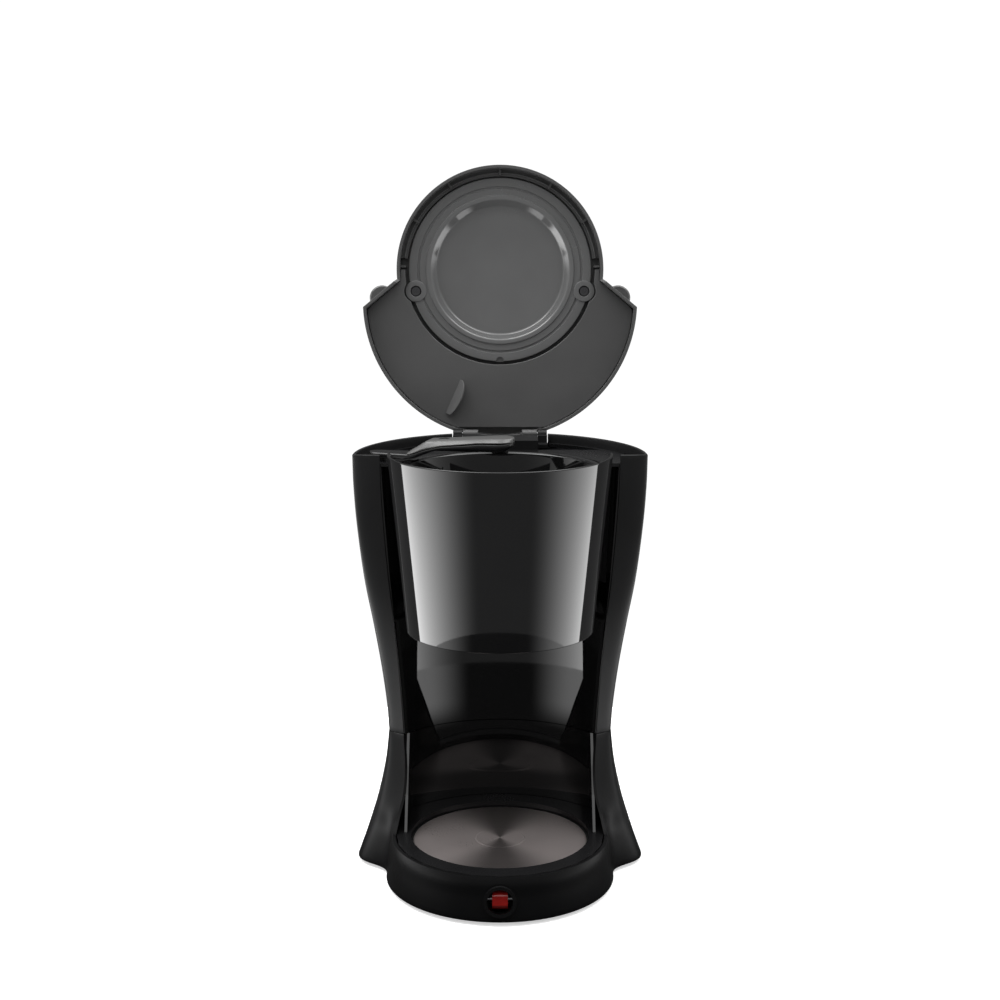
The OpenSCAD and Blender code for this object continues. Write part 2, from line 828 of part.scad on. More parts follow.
dimple_r = 17.5;
module hotplate() {
    color([0.42, 0.38, 0.37]) translate([0, -plate_y, 0]) rotate_extrude($fn = 128) polygon([
        [0, plate_z - 1.5], [plate_r - 1, plate_z - 1.5], [plate_r - 1, plate_z - 5],
        [plate_r, plate_z - 5], [plate_r, plate_z - 0.6], [plate_r - 0.6, plate_z],
        [dimple_r + 1, plate_z], [dimple_r, plate_z + 0.5], [0, plate_z + 0.5]
    ]);
}
module hotplate_seal() {
    color([0.07, 0.07, 0.07]) translate([0, -plate_y, 0]) rotate_extrude($fn = 128) polygon([
        [plate_r + 0.1, collar_z], [collar_r - 0.1, collar_z], [collar_r - 0.1, plate_z - 1], [plate_r + 0.1, plate_z - 1]
    ]);
}

tube_r = 5.2;
heater_z = 20;
stub_r = 4;
stub_y = 66;
function heater_end_at(side) = [side * heater_r * cos(heater_end), heater_r * sin(heater_end) - plate_y];
module heater() {
    color([0.72, 0.73, 0.75]) union() {
        translate([0, -plate_y, 0]) rotate([0, 0, 180 - heater_end])
            rotate_extrude(angle = 180 + 2 * heater_end) {
                translate([heater_r, heater_z]) circle(r = tube_r, $fn = 40);
                translate([heater_r - 7, heater_z + 4.4]) square([14, plate_z - 1.5 - heater_z - 4.4]);
            }
        for (side = [-1, 1])
            translate([heater_end_at(side).x, heater_end_at(side).y, heater_z]) {
                sphere(r = tube_r + 0.8, $fn = 40);
                rotate([-90, 0, 0]) cylinder(r = stub_r, h = stub_y - heater_end_at(side).y, $fn = 40);
            }
    }
}
strap_z = 13.2;
strap_screw = [heater_r - 11, -plate_y];
module heater_clamp() {
    color(metal) difference() {
        block([-heater_r - 8, -plate_y - 6, strap_z], [heater_r + 8, -plate_y + 6, heater_z - tube_r - 0.1]);
        both_sides() post(1.7, 10, 20, strap_screw);
    }
}
module clamp_screws() {
    color(metal) both_sides() {
        post(1.6, strap_z - 1, plate_z - 1.5, strap_screw);
        post(3.2, strap_z - 1.8, strap_z, strap_screw);
    }
}
module thermostat() {
    color([0.8, 0.76, 0.66]) {
        post(8, 20.5, plate_z - 1.5, plate_at);
        both_sides() block([7, -plate_y - 3, 24.6], [16, -plate_y + 3, 25.6]);
        post(9.4, 24, 26.4, plate_at);
    }
}
module thermal_fuses() {
    color([0.85, 0.85, 0.82]) both_sides() translate([22, -plate_y + 14, 26.2]) rotate([90, 0, 0])
        cylinder(r = 2.2, h = 28, $fn = 32);
}

// One-way valve under the tank, with a ball that lifts when water flows.
valve_low_z = 66;
valve_high_z = 92;
ball_r = 3.4;
module check_valve() {
    color([0.86, 0.86, 0.84]) translate([outlet_x, outlet_y, 0]) difference() {
        union() {
            post(7, valve_low_z + 4, valve_high_z - 4);
            post(4, valve_low_z - 8, valve_high_z + 8);
        }
        post(4.6, valve_low_z + 7, valve_high_z - 7);
        post(2.4, valve_low_z - 9, valve_high_z + 9);
    }
}
ball_z = valve_low_z + 9.6;
module valve_ball() {
    color([0.9, 0.9, 0.9]) translate([outlet_x, outlet_y, ball_z]) sphere(r = ball_r, $fn = 48);
}

hose_r = 5.6;
hose_bore_r = 4.05;
// Hose with one bend: down or up a vertical run, then forward to the heater's stub.
module bent_hose(x, y, z_top, y_front) {
    difference() {
        union() {
            post(hose_r, heater_z, z_top, [x, y]);
            translate([x, y, heater_z]) sphere(r = hose_r + 1.2, $fn = 48);
            translate([x, y_front, heater_z]) rotate([-90, 0, 0]) cylinder(r = hose_r, h = y - y_front);
        }
        post(hose_bore_r, heater_z, z_top + 1, [x, y]);
        translate([x, y, heater_z]) sphere(r = hose_bore_r + 0.4, $fn = 48);
        translate([x, y_front - 1, heater_z]) rotate([-90, 0, 0])
            cylinder(r = hose_bore_r, h = y - y_front + 1);
    }
}
hose_front_y = 56;
module inlet_hose() {
    color([0.75, 0.74, 0.7]) {
        bent_hose(outlet_x, outlet_y, 68, hose_front_y);
        difference() {
            post(hose_r, 90, 107.8, [outlet_x, outlet_y]);
            post(hose_bore_r, 80, 110, [outlet_x, outlet_y]);
        }
    }
}
// The hot hose runs back from the heater, across and up to the riser.
module outlet_hose() {
    x0 = -outlet_x;
    y0 = riser_low.y;
    color([0.75, 0.74, 0.7]) difference() {
        union() {
            translate([x0, hose_front_y, heater_z]) rotate([-90, 0, 0]) cylinder(r = hose_r, h = y0 - hose_front_y);
            translate([x0, y0, heater_z]) sphere(r = hose_r + 1.2, $fn = 48);
            translate([riser_low.x, y0, heater_z]) rotate([0, 90, 0]) cylinder(r = hose_r, h = x0 - riser_low.x);
            translate([riser_low.x, y0, heater_z]) sphere(r = hose_r + 1.2, $fn = 48);
            post(hose_r, heater_z, 97, [riser_low.x, y0]);
        }
        translate([x0, hose_front_y - 1, heater_z]) rotate([-90, 0, 0])
            cylinder(r = hose_bore_r, h = y0 - hose_front_y + 1);
        translate([x0, y0, heater_z]) sphere(r = hose_bore_r + 0.4, $fn = 48);
        translate([riser_low.x, y0, heater_z]) rotate([0, 90, 0])
            cylinder(r = hose_bore_r, h = x0 - riser_low.x);
        translate([riser_low.x, y0, heater_z]) sphere(r = hose_bore_r + 0.4, $fn = 48);
        post(hose_bore_r, heater_z, 99, [riser_low.x, y0]);
    }
}
module hose_clip() {
    difference() {
        cylinder(r = hose_r + 1, h = 4);
        translate([0, 0, -1]) cylinder(r = hose_r, h = 6);
    }
}
module hose_clips() {
    color(metal) {
        for (side = [-1, 1])
            translate([side * outlet_x, 60, heater_z]) rotate([-90, 0, 0]) hose_clip();
        for (z = [60, 94])
            translate([outlet_x, outlet_y, z]) hose_clip();
        translate([riser_low.x, riser_low.y, spigot_z + 1]) hose_clip();
    }
}

// ---------------------------------------------------------------- electrics

rocker_axis_y = front_y + 5;
rocker_tilt = 9;
rocker_r = 7;
bezel_r = 10.4;
module facing_front(y) {
    translate([0, y, switch_z]) rotate([90, 0, 0]) children();
}
module across(half_w, r) {
    translate([-half_w, rocker_axis_y, switch_z]) rotate([0, 90, 0]) cylinder(r = r, h = 2 * half_w, $fn = 32);
}
module switch_bezel() {
    color(gloss) difference() {
        facing_front(front_y + 0.5) difference() {
            union() {
                cylinder(r = 11.6, h = 2.4);
                translate([0, 0, -12]) cylinder(r = bezel_r, h = 13);
            }
            translate([0, 0, -13]) cylinder(r = 9.2, h = 20);
        }
        across(12, 1.25);
    }
}
module power_rocker() {
    color([0.3, 0.02, 0.02]) translate([0, rocker_axis_y, switch_z]) rotate([-rocker_tilt, 0, 0])
        difference() {
            intersection() {
                rotate([0, 90, 0]) translate([0, 0, -5.4]) cylinder(r = rocker_r, h = 10.8);
                block([-5.4, -6.2, -8], [5.4, 3, 8]);
            }
            translate([-10, 0, 0]) rotate([0, 90, 0]) cylinder(r = 1.25, h = 20);
        }
}
module rocker_pin() {
    color(metal) across(9.8, 1.2);
}
module switch_body() {
    color([0.1, 0.1, 0.1]) {
        block([-9, rocker_axis_y + 7.5, switch_z - 9], [9, rocker_axis_y + 20, switch_z + 5.5]);
        for (x = [-6, 0, 6])
            block([x - 0.5, rocker_axis_y + 19.5, switch_z - 3], [x + 0.5, rocker_axis_y + 25, switch_z + 3]);
    }
}
gland_x = -45;
gland_z = 18;
gland_r = 3.6;
gland_outer_r = 6.8;
module terminal_block() {
    color([0.88, 0.88, 0.84]) difference() {
        block([-50, 84, 5], [-24, 98, 17]);
        for (x = [-45, -37, -29])
            translate([x, 80, 11]) rotate([-90, 0, 0]) cylinder(r = 1.8, h = 24, $fn = 32);
    }
}
module cord_gland() {
    color([0.08, 0.08, 0.08]) translate([gland_x, 0, gland_z]) rotate([-90, 0, 0]) difference() {
        translate([0, 0, 112]) cylinder(r = gland_outer_r, h = 15);
        translate([0, 0, 100]) cylinder(r = gland_r, h = 50);
    }
}
module joint_screws() {
    color(metal) both_sides() {
        post(1.6, screw_head_z - 1, boss_top_z - 3, joint_screw_at);
        post(3.2, screw_head_z - 2, screw_head_z, joint_screw_at);
    }
}

rear_casing();
joint_frame();
inner_panel();
top_deck();
water_tank();
tank_outlet_seal();
level_window();
front_shell();
filter_housing();
filter_basket();
valve_cage();
drip_valve();
drip_seal();
drip_spring();
riser_pipe();
arm_post();
outlet_arm();
arm_cover();
hinge_bracket();
hinge_pins();
lid_shell();
lid_plate();
steam_shield();
lid_screws();
base_skirt();
base_deck();
deck_posts();
bay_liner();
base_plate();
rubber_feet();
base_screws();
hotplate();
hotplate_seal();
heater();
heater_clamp();
clamp_screws();
thermostat();
thermal_fuses();
check_valve();
valve_ball();
inlet_hose();
outlet_hose();
hose_clips();
switch_bezel();
power_rocker();
rocker_pin();
switch_body();
terminal_block();
cord_gland();
joint_screws();
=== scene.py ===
"""Drip coffee maker with its lid open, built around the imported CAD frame.

Shapes are in millimetres until mesh() and cut() scale them.
"""
import json
import math

import bmesh
import bpy
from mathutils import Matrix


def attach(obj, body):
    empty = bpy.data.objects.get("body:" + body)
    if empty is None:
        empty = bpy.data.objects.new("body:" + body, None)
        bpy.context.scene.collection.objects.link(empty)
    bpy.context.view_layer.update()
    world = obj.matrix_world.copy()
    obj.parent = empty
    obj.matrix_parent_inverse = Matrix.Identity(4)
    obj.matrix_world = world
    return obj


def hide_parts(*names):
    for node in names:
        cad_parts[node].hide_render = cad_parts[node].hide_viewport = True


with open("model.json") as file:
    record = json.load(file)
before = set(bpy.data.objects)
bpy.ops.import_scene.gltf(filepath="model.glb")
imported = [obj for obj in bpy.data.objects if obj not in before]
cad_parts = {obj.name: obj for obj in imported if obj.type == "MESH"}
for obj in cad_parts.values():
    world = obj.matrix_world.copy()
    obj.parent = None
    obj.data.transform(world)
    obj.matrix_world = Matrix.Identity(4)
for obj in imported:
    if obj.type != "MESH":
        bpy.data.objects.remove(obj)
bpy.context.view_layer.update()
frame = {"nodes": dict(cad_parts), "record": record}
scene = bpy.context.scene
MM = 0.001


# ------------------------------------------------------------------ camera

CAMERA_AT = (0, -1213, 516)
CAMERA_PITCH = 10.75
camera_data = bpy.data.cameras.new("camera")
camera_data.lens = 61.2
camera_data.sensor_width = 36
camera = bpy.data.objects.new("camera", camera_data)
camera.location = [v * MM for v in CAMERA_AT]
camera.rotation_euler = (math.radians(90 - CAMERA_PITCH), 0, 0)
scene.collection.objects.link(camera)
scene.camera = camera
scene.view_settings.view_transform = "Standard"


# ------------------------------------------------------------------ materials


class Nodes:
    """Adds nodes to one tree. An input may be a number, a tuple or another node's output."""

    def __init__(self, tree):
        self.tree = tree

    def add(self, kind, out=0, **settings):
        node = self.tree.nodes.new(kind)
        inputs = settings.pop("inputs", {})
        for key, value in settings.items():
            setattr(node, key, value)
        for key, value in inputs.items():
            self.put(node.inputs[key], value)
        return node.outputs[out]

    def put(self, socket, value):
        if isinstance(value, bpy.types.NodeSocket):
            self.tree.links.new(value, socket)
        else:
            socket.default_value = value

    def math(self, operation, a, b=0.0):
        return self.add("ShaderNodeMath", operation=operation, inputs={0: a, 1: b})

    def ramp(self, value, low, high, to_low=0.0, to_high=1.0, kind="SMOOTHSTEP"):
        return self.add("ShaderNodeMapRange", interpolation_type=kind, inputs={
            "Value": value, "From Min": low, "From Max": high, "To Min": to_low, "To Max": to_high})

    def length(self, x, y):
        """How far (x, y) is from zero."""
        square = self.math("ADD", self.math("MULTIPLY", x, x), self.math("MULTIPLY", y, y))
        return self.math("SQRT", square)

    def parts(self, vector):
        """The x, y and z of a vector."""
        node = self.tree.nodes.new("ShaderNodeSeparateXYZ")
        self.put(node.inputs[0], vector)
        return node.outputs

    def mix(self, share, a, b):
        node = self.tree.nodes.new("ShaderNodeMix")
        node.data_type = "RGBA"
        self.put(node.inputs[0], share)
        self.put(node.inputs[6], a)
        self.put(node.inputs[7], b)
        return node.outputs[2]


def rgba(colour):
    return (*colour, 1.0)


def finish_of(name, colour, spread, rough, grain, bump, **sockets):
    """Moulded or coated surface.

    The colour varies by spread, the roughness goes from low to high, and the grain has a bump height.
    """
    made = bpy.data.materials.new(name)
    made.use_nodes = True
    nodes = Nodes(made.node_tree)
    shader = made.node_tree.nodes["Principled BSDF"]
    place = nodes.add("ShaderNodeTexCoord", out=3)
    cloud = nodes.add("ShaderNodeTexNoise", inputs={"Vector": place, "Scale": 22.0, "Detail": 3.0})
    fine = nodes.add("ShaderNodeTexNoise", inputs={"Vector": place, "Scale": grain, "Detail": 2.0})
    dark = rgba([c * (1 - spread) for c in colour])
    light = rgba([c * (1 + spread) for c in colour])
    nodes.put(shader.inputs["Base Color"], nodes.mix(nodes.ramp(cloud, 0.3, 0.7), dark, light))
    mixed = nodes.math("ADD", nodes.math("MULTIPLY", cloud, 0.6), nodes.math("MULTIPLY", fine, 0.4))
    nodes.put(shader.inputs["Roughness"], nodes.ramp(mixed, 0.3, 0.7, rough[0], rough[1], "LINEAR"))
    if bump:
        nodes.put(shader.inputs["Normal"], nodes.add("ShaderNodeBump", inputs={
            "Height": fine, "Strength": 1.0, "Distance": bump * MM}))
    for key, value in sockets.items():
        shader.inputs[key.replace("_", " ")].default_value = value
    return made


def turned_finish(name, colour, ring, centre_y):
    """Metallic coat with fine rings round the plate's axis, and painted sheen: the colour is darkened at the
    plate's front and back and left full at the sides.
    """
    made = finish_of(name, colour, 0.05, (0.26, 0.34), 900, 0, Metallic=0.75)
    nodes = Nodes(made.node_tree)
    shader = made.node_tree.nodes["Principled BSDF"]
    place = nodes.add("ShaderNodeTexCoord", out=3)
    moved = nodes.add("ShaderNodeVectorMath", operation="ADD", inputs={0: place, 1: (0, -centre_y * MM, 0)})
    rings = nodes.add("ShaderNodeTexWave", out=1, wave_type="RINGS", rings_direction="Z", inputs={
        "Vector": moved, "Scale": ring, "Distortion": 0.6, "Detail": 2.0})
    nodes.put(shader.inputs["Normal"], nodes.add("ShaderNodeBump", inputs={
        "Height": rings, "Strength": 0.5, "Distance": 0.02 * MM}))
    x, y = nodes.parts(moved)[:2]
    # Painted sheen: base colour darkened front and back and full at the sides, in place of the spun metal's
    # highlight fans.
    painted_sheen_fan = nodes.math("ABSOLUTE", nodes.math("ARCTAN2", x, nodes.math("ABSOLUTE", y)))
    shade = shader.inputs["Base Color"].links[0].from_socket
    nodes.put(shader.inputs["Base Color"], nodes.mix(
        nodes.ramp(painted_sheen_fan, 0.1, 0.95), rgba([c * PAINTED_SHEEN_DARK for c in colour]), shade))
    return made


def shield_finish(name, colour):
    """Grey moulding, polished round the wall of the recess."""
    made = finish_of(name, colour, 0.04, (0.22, 0.28), 1200, 0.003)
    nodes = Nodes(made.node_tree)
    shader = made.node_tree.nodes["Principled BSDF"]
    place = nodes.add("ShaderNodeTexCoord", out=3)
    back = nodes.add("ShaderNodeVectorRotate", rotation_type="X_AXIS", inputs={
        "Vector": place, "Angle": math.radians(LID_TURN),
        "Center": (0, LID_HINGE[0] * MM, LID_HINGE[1] * MM)})
    x, y = nodes.parts(back)[:2]
    far = nodes.length(x, y)
    wall_in, wall_out, fade = 50, 58, 0.5
    wall = nodes.math(
        "MULTIPLY",
        nodes.ramp(far, (wall_in - fade) * MM, (wall_in + fade) * MM),
        nodes.ramp(far, (wall_out + fade) * MM, (wall_out - fade) * MM))
    rough = shader.inputs["Roughness"].links[0].from_socket
    nodes.put(shader.inputs["Roughness"], nodes.ramp(wall, 0, 1, rough, 0.07, "LINEAR"))
    nodes.put(shader.inputs["Specular IOR Level"], nodes.ramp(wall, 0, 1, 0.5, 1.0, "LINEAR"))
    return made


# How dark the painted sheen leaves the plate's colour at its front and back.
PAINTED_SHEEN_DARK = 0.25
LID_HINGE, LID_TURN = (131, 314.7), 97
GLOSS = (0.0058, 0.0058, 0.0061)
LOOKS = {
    "gloss_black": finish_of("gloss_black", GLOSS, 0.1, (0.015, 0.05), 700, 0.0008, Coat_Weight=0.25),
    "satin_black": finish_of("satin_black", (0.0085, 0.0085, 0.009), 0.1, (0.38, 0.46), 1500, 0.012,
                             Specular_IOR_Level=0.38),
    # Painted shade: a darker, less glossy copy of satin_black, so the base wings look as dim as the casing
    # above them.
    "base_black_painted_shade": finish_of("base_black_painted_shade", (0.004, 0.004, 0.0043), 0.1, (0.30, 0.36), 1500, 0.012,
                            Specular_IOR_Level=0.2),
    "lid_grey": finish_of("lid_grey", (0.095, 0.095, 0.095), 0.05, (0.36, 0.44), 1400, 0.008),
    "shield_grey": shield_finish("shield_grey", (0.155, 0.156, 0.156)),
    "deck_black": finish_of("deck_black", (0.008, 0.008, 0.0085), 0.1, (0.2, 0.28), 900, 0.004),
    "arm_grey": finish_of("arm_grey", (0.085, 0.085, 0.084), 0.05, (0.3, 0.38), 1300, 0.008),
    "tank_dark": finish_of("tank_dark", (0.02, 0.02, 0.021), 0.1, (0.25, 0.35), 900, 0.004),
    "window_grey": finish_of("window_grey", (0.05, 0.05, 0.052), 0.06, (0.05, 0.12), 700, 0.001),
    "plate_coat": turned_finish("plate_coat", (0.47, 0.42, 0.41), 900, -10),
    "steel": finish_of("steel", (0.42, 0.42, 0.43), 0.06, (0.22, 0.34), 1800, 0.002, Metallic=1.0),
    "aluminium": finish_of("aluminium", (0.62, 0.62, 0.63), 0.06, (0.32, 0.45), 900, 0.01, Metallic=1.0),
    "screw_steel": finish_of("screw_steel", (0.15, 0.15, 0.155), 0.06, (0.25, 0.35), 1500, 0.002,
                             Metallic=1.0),
    "rubber_black": finish_of("rubber_black", (0.012, 0.012, 0.012), 0.15, (0.6, 0.75), 1200, 0.02),
    "silicone_red": finish_of("silicone_red", (0.30, 0.035, 0.03), 0.08, (0.4, 0.5), 900, 0.008),
    "hose_clear": finish_of("hose_clear", (0.52, 0.49, 0.42), 0.05, (0.3, 0.4), 800, 0.005),
    "ceramic_white": finish_of("ceramic_white", (0.7, 0.68, 0.63), 0.05, (0.35, 0.5), 1000, 0.008),
    "rocker_red": finish_of("rocker_red", (0.28, 0.01, 0.008), 0.05, (0.08, 0.14), 800, 0.001),
}
SLOT_OF = {part["node"]: part["material_slot"] for part in frame["record"]["subparts"]}
BODY_OF = {n: b for b, nodes in frame["record"]["behaviour"]["bodies"].items() for n in nodes}


# ------------------------------------------------------------------ mesh helpers


def polish(obj, angle=32):
    """Smooth faces, with sharp edges kept where two faces meet at more than the angle."""
    data = obj.data
    limit = math.radians(angle)
    work = bmesh.new()
    work.from_mesh(data)
    for face in work.faces:
        face.smooth = True
    for edge in work.edges:
        edge.smooth = len(edge.link_faces) == 2 and edge.calc_face_angle(0) < limit
    work.to_mesh(data)
    work.free()
    return obj


def mesh(name, points, faces, node, look=None, bevel=0.0, angle=32):
    """One visible piece in place of its CAD node, riding on the node's body."""
    data = bpy.data.meshes.new(name)
    data.from_pydata([[v * MM for v in p] for p in points], [], faces)
    data.validate()
    work = bmesh.new()
    work.from_mesh(data)
    bmesh.ops.remove_doubles(work, verts=work.verts, dist=0.002 * MM)
    bmesh.ops.recalc_face_normals(work, faces=work.faces)
    work.to_mesh(data)
    work.free()
    obj = bpy.data.objects.new(name, data)
    scene.collection.objects.link(obj)
    data.materials.append(LOOKS[look or SLOT_OF[node]])
    if bevel:
        add_bevel(obj, bevel, angle)
    polish(obj, angle)
    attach(obj, BODY_OF[node])
    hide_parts(node)
    return obj


def add_bevel(obj, width, angle=32, segments=3):
    bevel = obj.modifiers.new("edge", "BEVEL")
    bevel.width = width * MM
    bevel.segments = segments
    bevel.limit_method = "ANGLE"
    bevel.angle_limit = math.radians(angle)
    bevel.harden_normals = False
    bevel.use_clamp_overlap = True


def merge(*parts):
    """Joins (points, faces) pairs into one pair."""
    points, faces = [], []
    for p, f in parts:
        faces += [[i + len(points) for i in face] for face in f]
        points += list(p)
    return points, faces


def grid(rows, wrap=False, caps=False):
    """Quads over equal rows of points; wrap closes each row, and caps fills the first and last."""
    n = len(rows[0])
    points = [p for row in rows for p in row]
    faces = []
    for j in range(len(rows) - 1):
        for k in range(n if wrap else n - 1):
            m = (k + 1) % n
            faces.append([j * n + k, j * n + m, (j + 1) * n + m, (j + 1) * n + k])
    if caps:
        faces.append(list(range(n)))
        faces.append(list(range((len(rows) - 1) * n, len(rows) * n)))
    return points, faces


def revolve(profile, steps=160, start=0.0, turn=360.0, closed=True, at=(0, 0)):
    """Sweeps a closed (radius, z) outline round Z; a part turn gets end caps."""
    whole = turn == 360.0
    rows = []
    for i in range(steps + (0 if whole else 1)):
        a = math.radians(start + turn * i / steps)
        rows.append([(at[0] + r * math.cos(a), at[1] + r * math.sin(a), z) for r, z in profile])
    if whole:
        rows.append(rows[0])
    return grid(rows, wrap=closed, caps=closed and not whole)


def rounded(outline, radius, steps=4):
    """Closed (a, b) outline with its corners rounded. radius is one number, or one for each corner."""
    out = []
    n = len(outline)
    for i, corner in enumerate(outline):
        r = radius[i] if isinstance(radius, (list, tuple)) else radius
        before, after = outline[i - 1], outline[(i + 1) % n]
        legs = []
        for other in (before, after):
            d = (other[0] - corner[0], other[1] - corner[1])
            length = math.hypot(*d)
            legs.append((d[0] / length, d[1] / length, length))
        turn = math.acos(max(-1, min(1, legs[0][0] * legs[1][0] + legs[0][1] * legs[1][1])))
        reach = min(r / math.tan(turn / 2), legs[0][2] * 0.49, legs[1][2] * 0.49) if r and turn < 3.1 else 0
        if reach <= 0:
            out.append(corner)
            continue
        a = (corner[0] + legs[0][0] * reach, corner[1] + legs[0][1] * reach)
        b = (corner[0] + legs[1][0] * reach, corner[1] + legs[1][1] * reach)
        for k in range(steps + 1):
            t = k / steps
            wa, wc, wb = (1 - t) ** 2, 2 * t * (1 - t), t * t
            out.append((a[0] * wa + corner[0] * wc + b[0] * wb, a[1] * wa + corner[1] * wc + b[1] * wb))
    return out


def box_part(low, high):
    """Closed box as (points, faces)."""
    xs, ys, zs = zip(low, high)
    points = [(x, y, z) for z in zs for y in ys for x in xs]
    return points, [[0, 1, 3, 2], [4, 5, 7, 6], [0, 1, 5, 4], [2, 3, 7, 6], [0, 2, 6, 4], [1, 3, 7, 5]]


def disc_part(at, radius, low, high, edge=0.6, steps=48):
    """Short round post with rounded ends."""
    outline = [
        (0, low), (radius - edge, low), (radius, low + edge),
        (radius, high - edge), (radius - edge, high), (0, high)]
    rows = []
    for i in range(steps + 1):
        a = 2 * math.pi * i / steps
        rows.append([(at[0] + r * math.cos(a), at[1] + r * math.sin(a), z) for r, z in outline])
    return grid(rows)


def moved(part, change):
    points, faces = part
    return [change(p) for p in points], faces


def mirrored(part):
    points, faces = part
    return [(-x, y, z) for x, y, z in points], [face[::-1] for face in faces]


def both_sides(*parts):
    """The parts, then their mirror images."""
    return [*parts, *map(mirrored, parts)]


def cut(obj, *parts, crossing=False):
    """Takes closed (points, faces) parts out of obj's mesh; crossing says that obj's own parts overlap."""
    for i, (points, faces) in enumerate(parts):
        data = bpy.data.meshes.new("cutter")
        data.from_pydata([[v * MM for v in p] for p in points], [], faces)
        work = bmesh.new()
        work.from_mesh(data)
        bmesh.ops.remove_doubles(work, verts=work.verts, dist=0.001 * MM)
        bmesh.ops.recalc_face_normals(work, faces=work.faces)
        work.to_mesh(data)
        work.free()
        cutter = bpy.data.objects.new("cutter", data)
        scene.collection.objects.link(cutter)
        knife = obj.modifiers.new(f"knife{i}", "BOOLEAN")
        knife.operation = "DIFFERENCE"
        knife.solver = "EXACT"
        knife.use_self = crossing
        knife.object = cutter
        bpy.context.view_layer.update()
        shaped = obj.evaluated_get(bpy.context.evaluated_depsgraph_get())
        result = bpy.data.meshes.new_from_object(shaped)
        obj.modifiers.remove(knife)
        obj.data = result
        bpy.data.objects.remove(cutter)
    return polish(obj)


# ------------------------------------------------------------------ body skins

CASING_TOP = 315.5
JOINT_Z = 96
DECK_Z = 34.5
BACK_Y = 134.8
SKIN_T = 2.5
# Height, half width, how far back the widest point lies, the strip edge's x, y and closing angle.
COLUMN_ROWS = [
    (JOINT_Z + 0.25, 86, 52, 74, 35, 35),
    (118, 87.2, 47.5, 75.2, 34, 30),
    (150, 90.8, 42, 77.2, 31, 22),
    (185, 96, 35.5, 80.2, 27.5, 14),
    (220, 101.8, 29.5, 83.6, 24.5, 7),
    (262, 106.4, 25, 86.8, 22, 3),
    (292, 108.4, 23.5, 88.3, 20.6, 0),
    (CASING_TOP, 108.9, 23, 88.7, 20.1, 0),
]
BASE_ROWS = [
    (3, 109.3, 26, 85, -14, 90),
    (20, 103, 28.5, 82.5, -14, 90),
    (DECK_Z, 98.2, 31, 80, -14, 90),
    (44, 95.2, 35, 77.5, -6, 70),
    (57, 91.8, 40, 73.5, 5, 48),
    (75, 88.2, 46, 72.2, 18, 38),
    (JOINT_Z, 86, 52, 74, 35, 35),
]


def row_at(rows, z):
    """Smoothly interpolated row at a height."""
    i = max(0, min(len(rows) - 2, sum(1 for r in rows if r[0] <= z) - 1))
    a, b = rows[i], rows[i + 1]
    before, after = rows[max(i - 1, 0)], rows[min(i + 2, len(rows) - 1)]
    h = b[0] - a[0]
    t = (z - a[0]) / h
    out = [z]
    for k in range(1, 6):
        slope = (b[k] - a[k]) / h
        left = slope if i == 0 else (b[k] - before[k]) / (b[0] - before[0])
        right = slope if i == len(rows) - 2 else (after[k] - a[k]) / (after[0] - a[0])
        t2, t3 = t * t, t * t * t
        out.append(a[k] * (2 * t3 - 3 * t2 + 1) + b[k] * (3 * t2 - 2 * t3)
                   + left * h * (t3 - 2 * t2 + t) + right * h * (t3 - t2))
    return out


def bezier(a, b, c, d, s):
    r = 1 - s
    return [a[i] * r ** 3 + 3 * b[i] * s * r * r + 3 * c[i] * s * s * r + d[i] * s ** 3 for i in (0, 1)]


def strip_path(row, t, steps=18):
    """From the strip's inner edge to the widest point, inset by t."""
    _, half, wide_y, edge_x, edge_y, angle = row
    ca, sa = math.cos(math.radians(angle)), math.sin(math.radians(angle))
    outer = (half - t, wide_y)
    edge = (edge_x - t * sa, edge_y + t * ca)
    reach = 0.7 * ca * (outer[0] - edge[0]) + 0.5 * sa * (outer[1] - edge[1])
    b = (outer[0], outer[1] - 0.55 * max(outer[1] - edge[1], 0))
    c = (edge[0] + reach * ca, edge[1] + reach * sa)
    return [bezier(outer, b, c, edge, i / steps) for i in range(steps, -1, -1)]


def open_path(row, t, back=72):
    right = strip_path(row, t)
    wide_y = row[2]
    half, depth = row[1] - t, BACK_Y - t - wide_y
    arc = [(half * math.cos(math.pi * i / back), wide_y + depth * math.sin(math.pi * i / back))
           for i in range(1, back)]
    return right + arc + [(-x, y) for x, y in reversed(right)]


def lip(a, b, steps=6):
    """Half-round edge from point a to point b, bulging away from the path's end."""
    mid = ((a[0] + b[0]) / 2, (a[1] + b[1]) / 2)
    half = ((a[0] - b[0]) / 2, (a[1] - b[1]) / 2)
    out = (half[1], -half[0])
    bulge = 0.55
    turns = [math.pi * k / steps for k in range(1, steps)]
    return [(mid[0] + half[0] * math.cos(a) + bulge * out[0] * math.sin(a),
             mid[1] + half[1] * math.cos(a) + bulge * out[1] * math.sin(a)) for a in turns]


def section(row, outer_t, inner_t):
    """Closed outline of the skin at one height, with half-round edges on the strips."""
    outer, inner = open_path(row, outer_t), open_path(row, inner_t)
    return outer + lip(outer[-1], inner[-1]) + inner[::-1] + lip(inner[0], outer[0])


def heights(rows, low_edge, high_edge, step=4.0):
    """(z, inset) pairs from the bottom to the top, with both rims rounded."""
    low, high = rows[0][0], rows[-1][0]
    out = [(low + low_edge * (1 - math.cos(a)), low_edge * (1 - math.sin(a))) for a in (0, 0.52, 1.05)]
    count = int((high - low) / step)
    out += [(low + low_edge + (high - low - low_edge - high_edge) * i / count, 0.0) for i in range(count + 1)]
    out += [(high - high_edge * (1 - math.cos(a)), high_edge * (1 - math.sin(a))) for a in (1.05, 0.52, 0)]
    return out


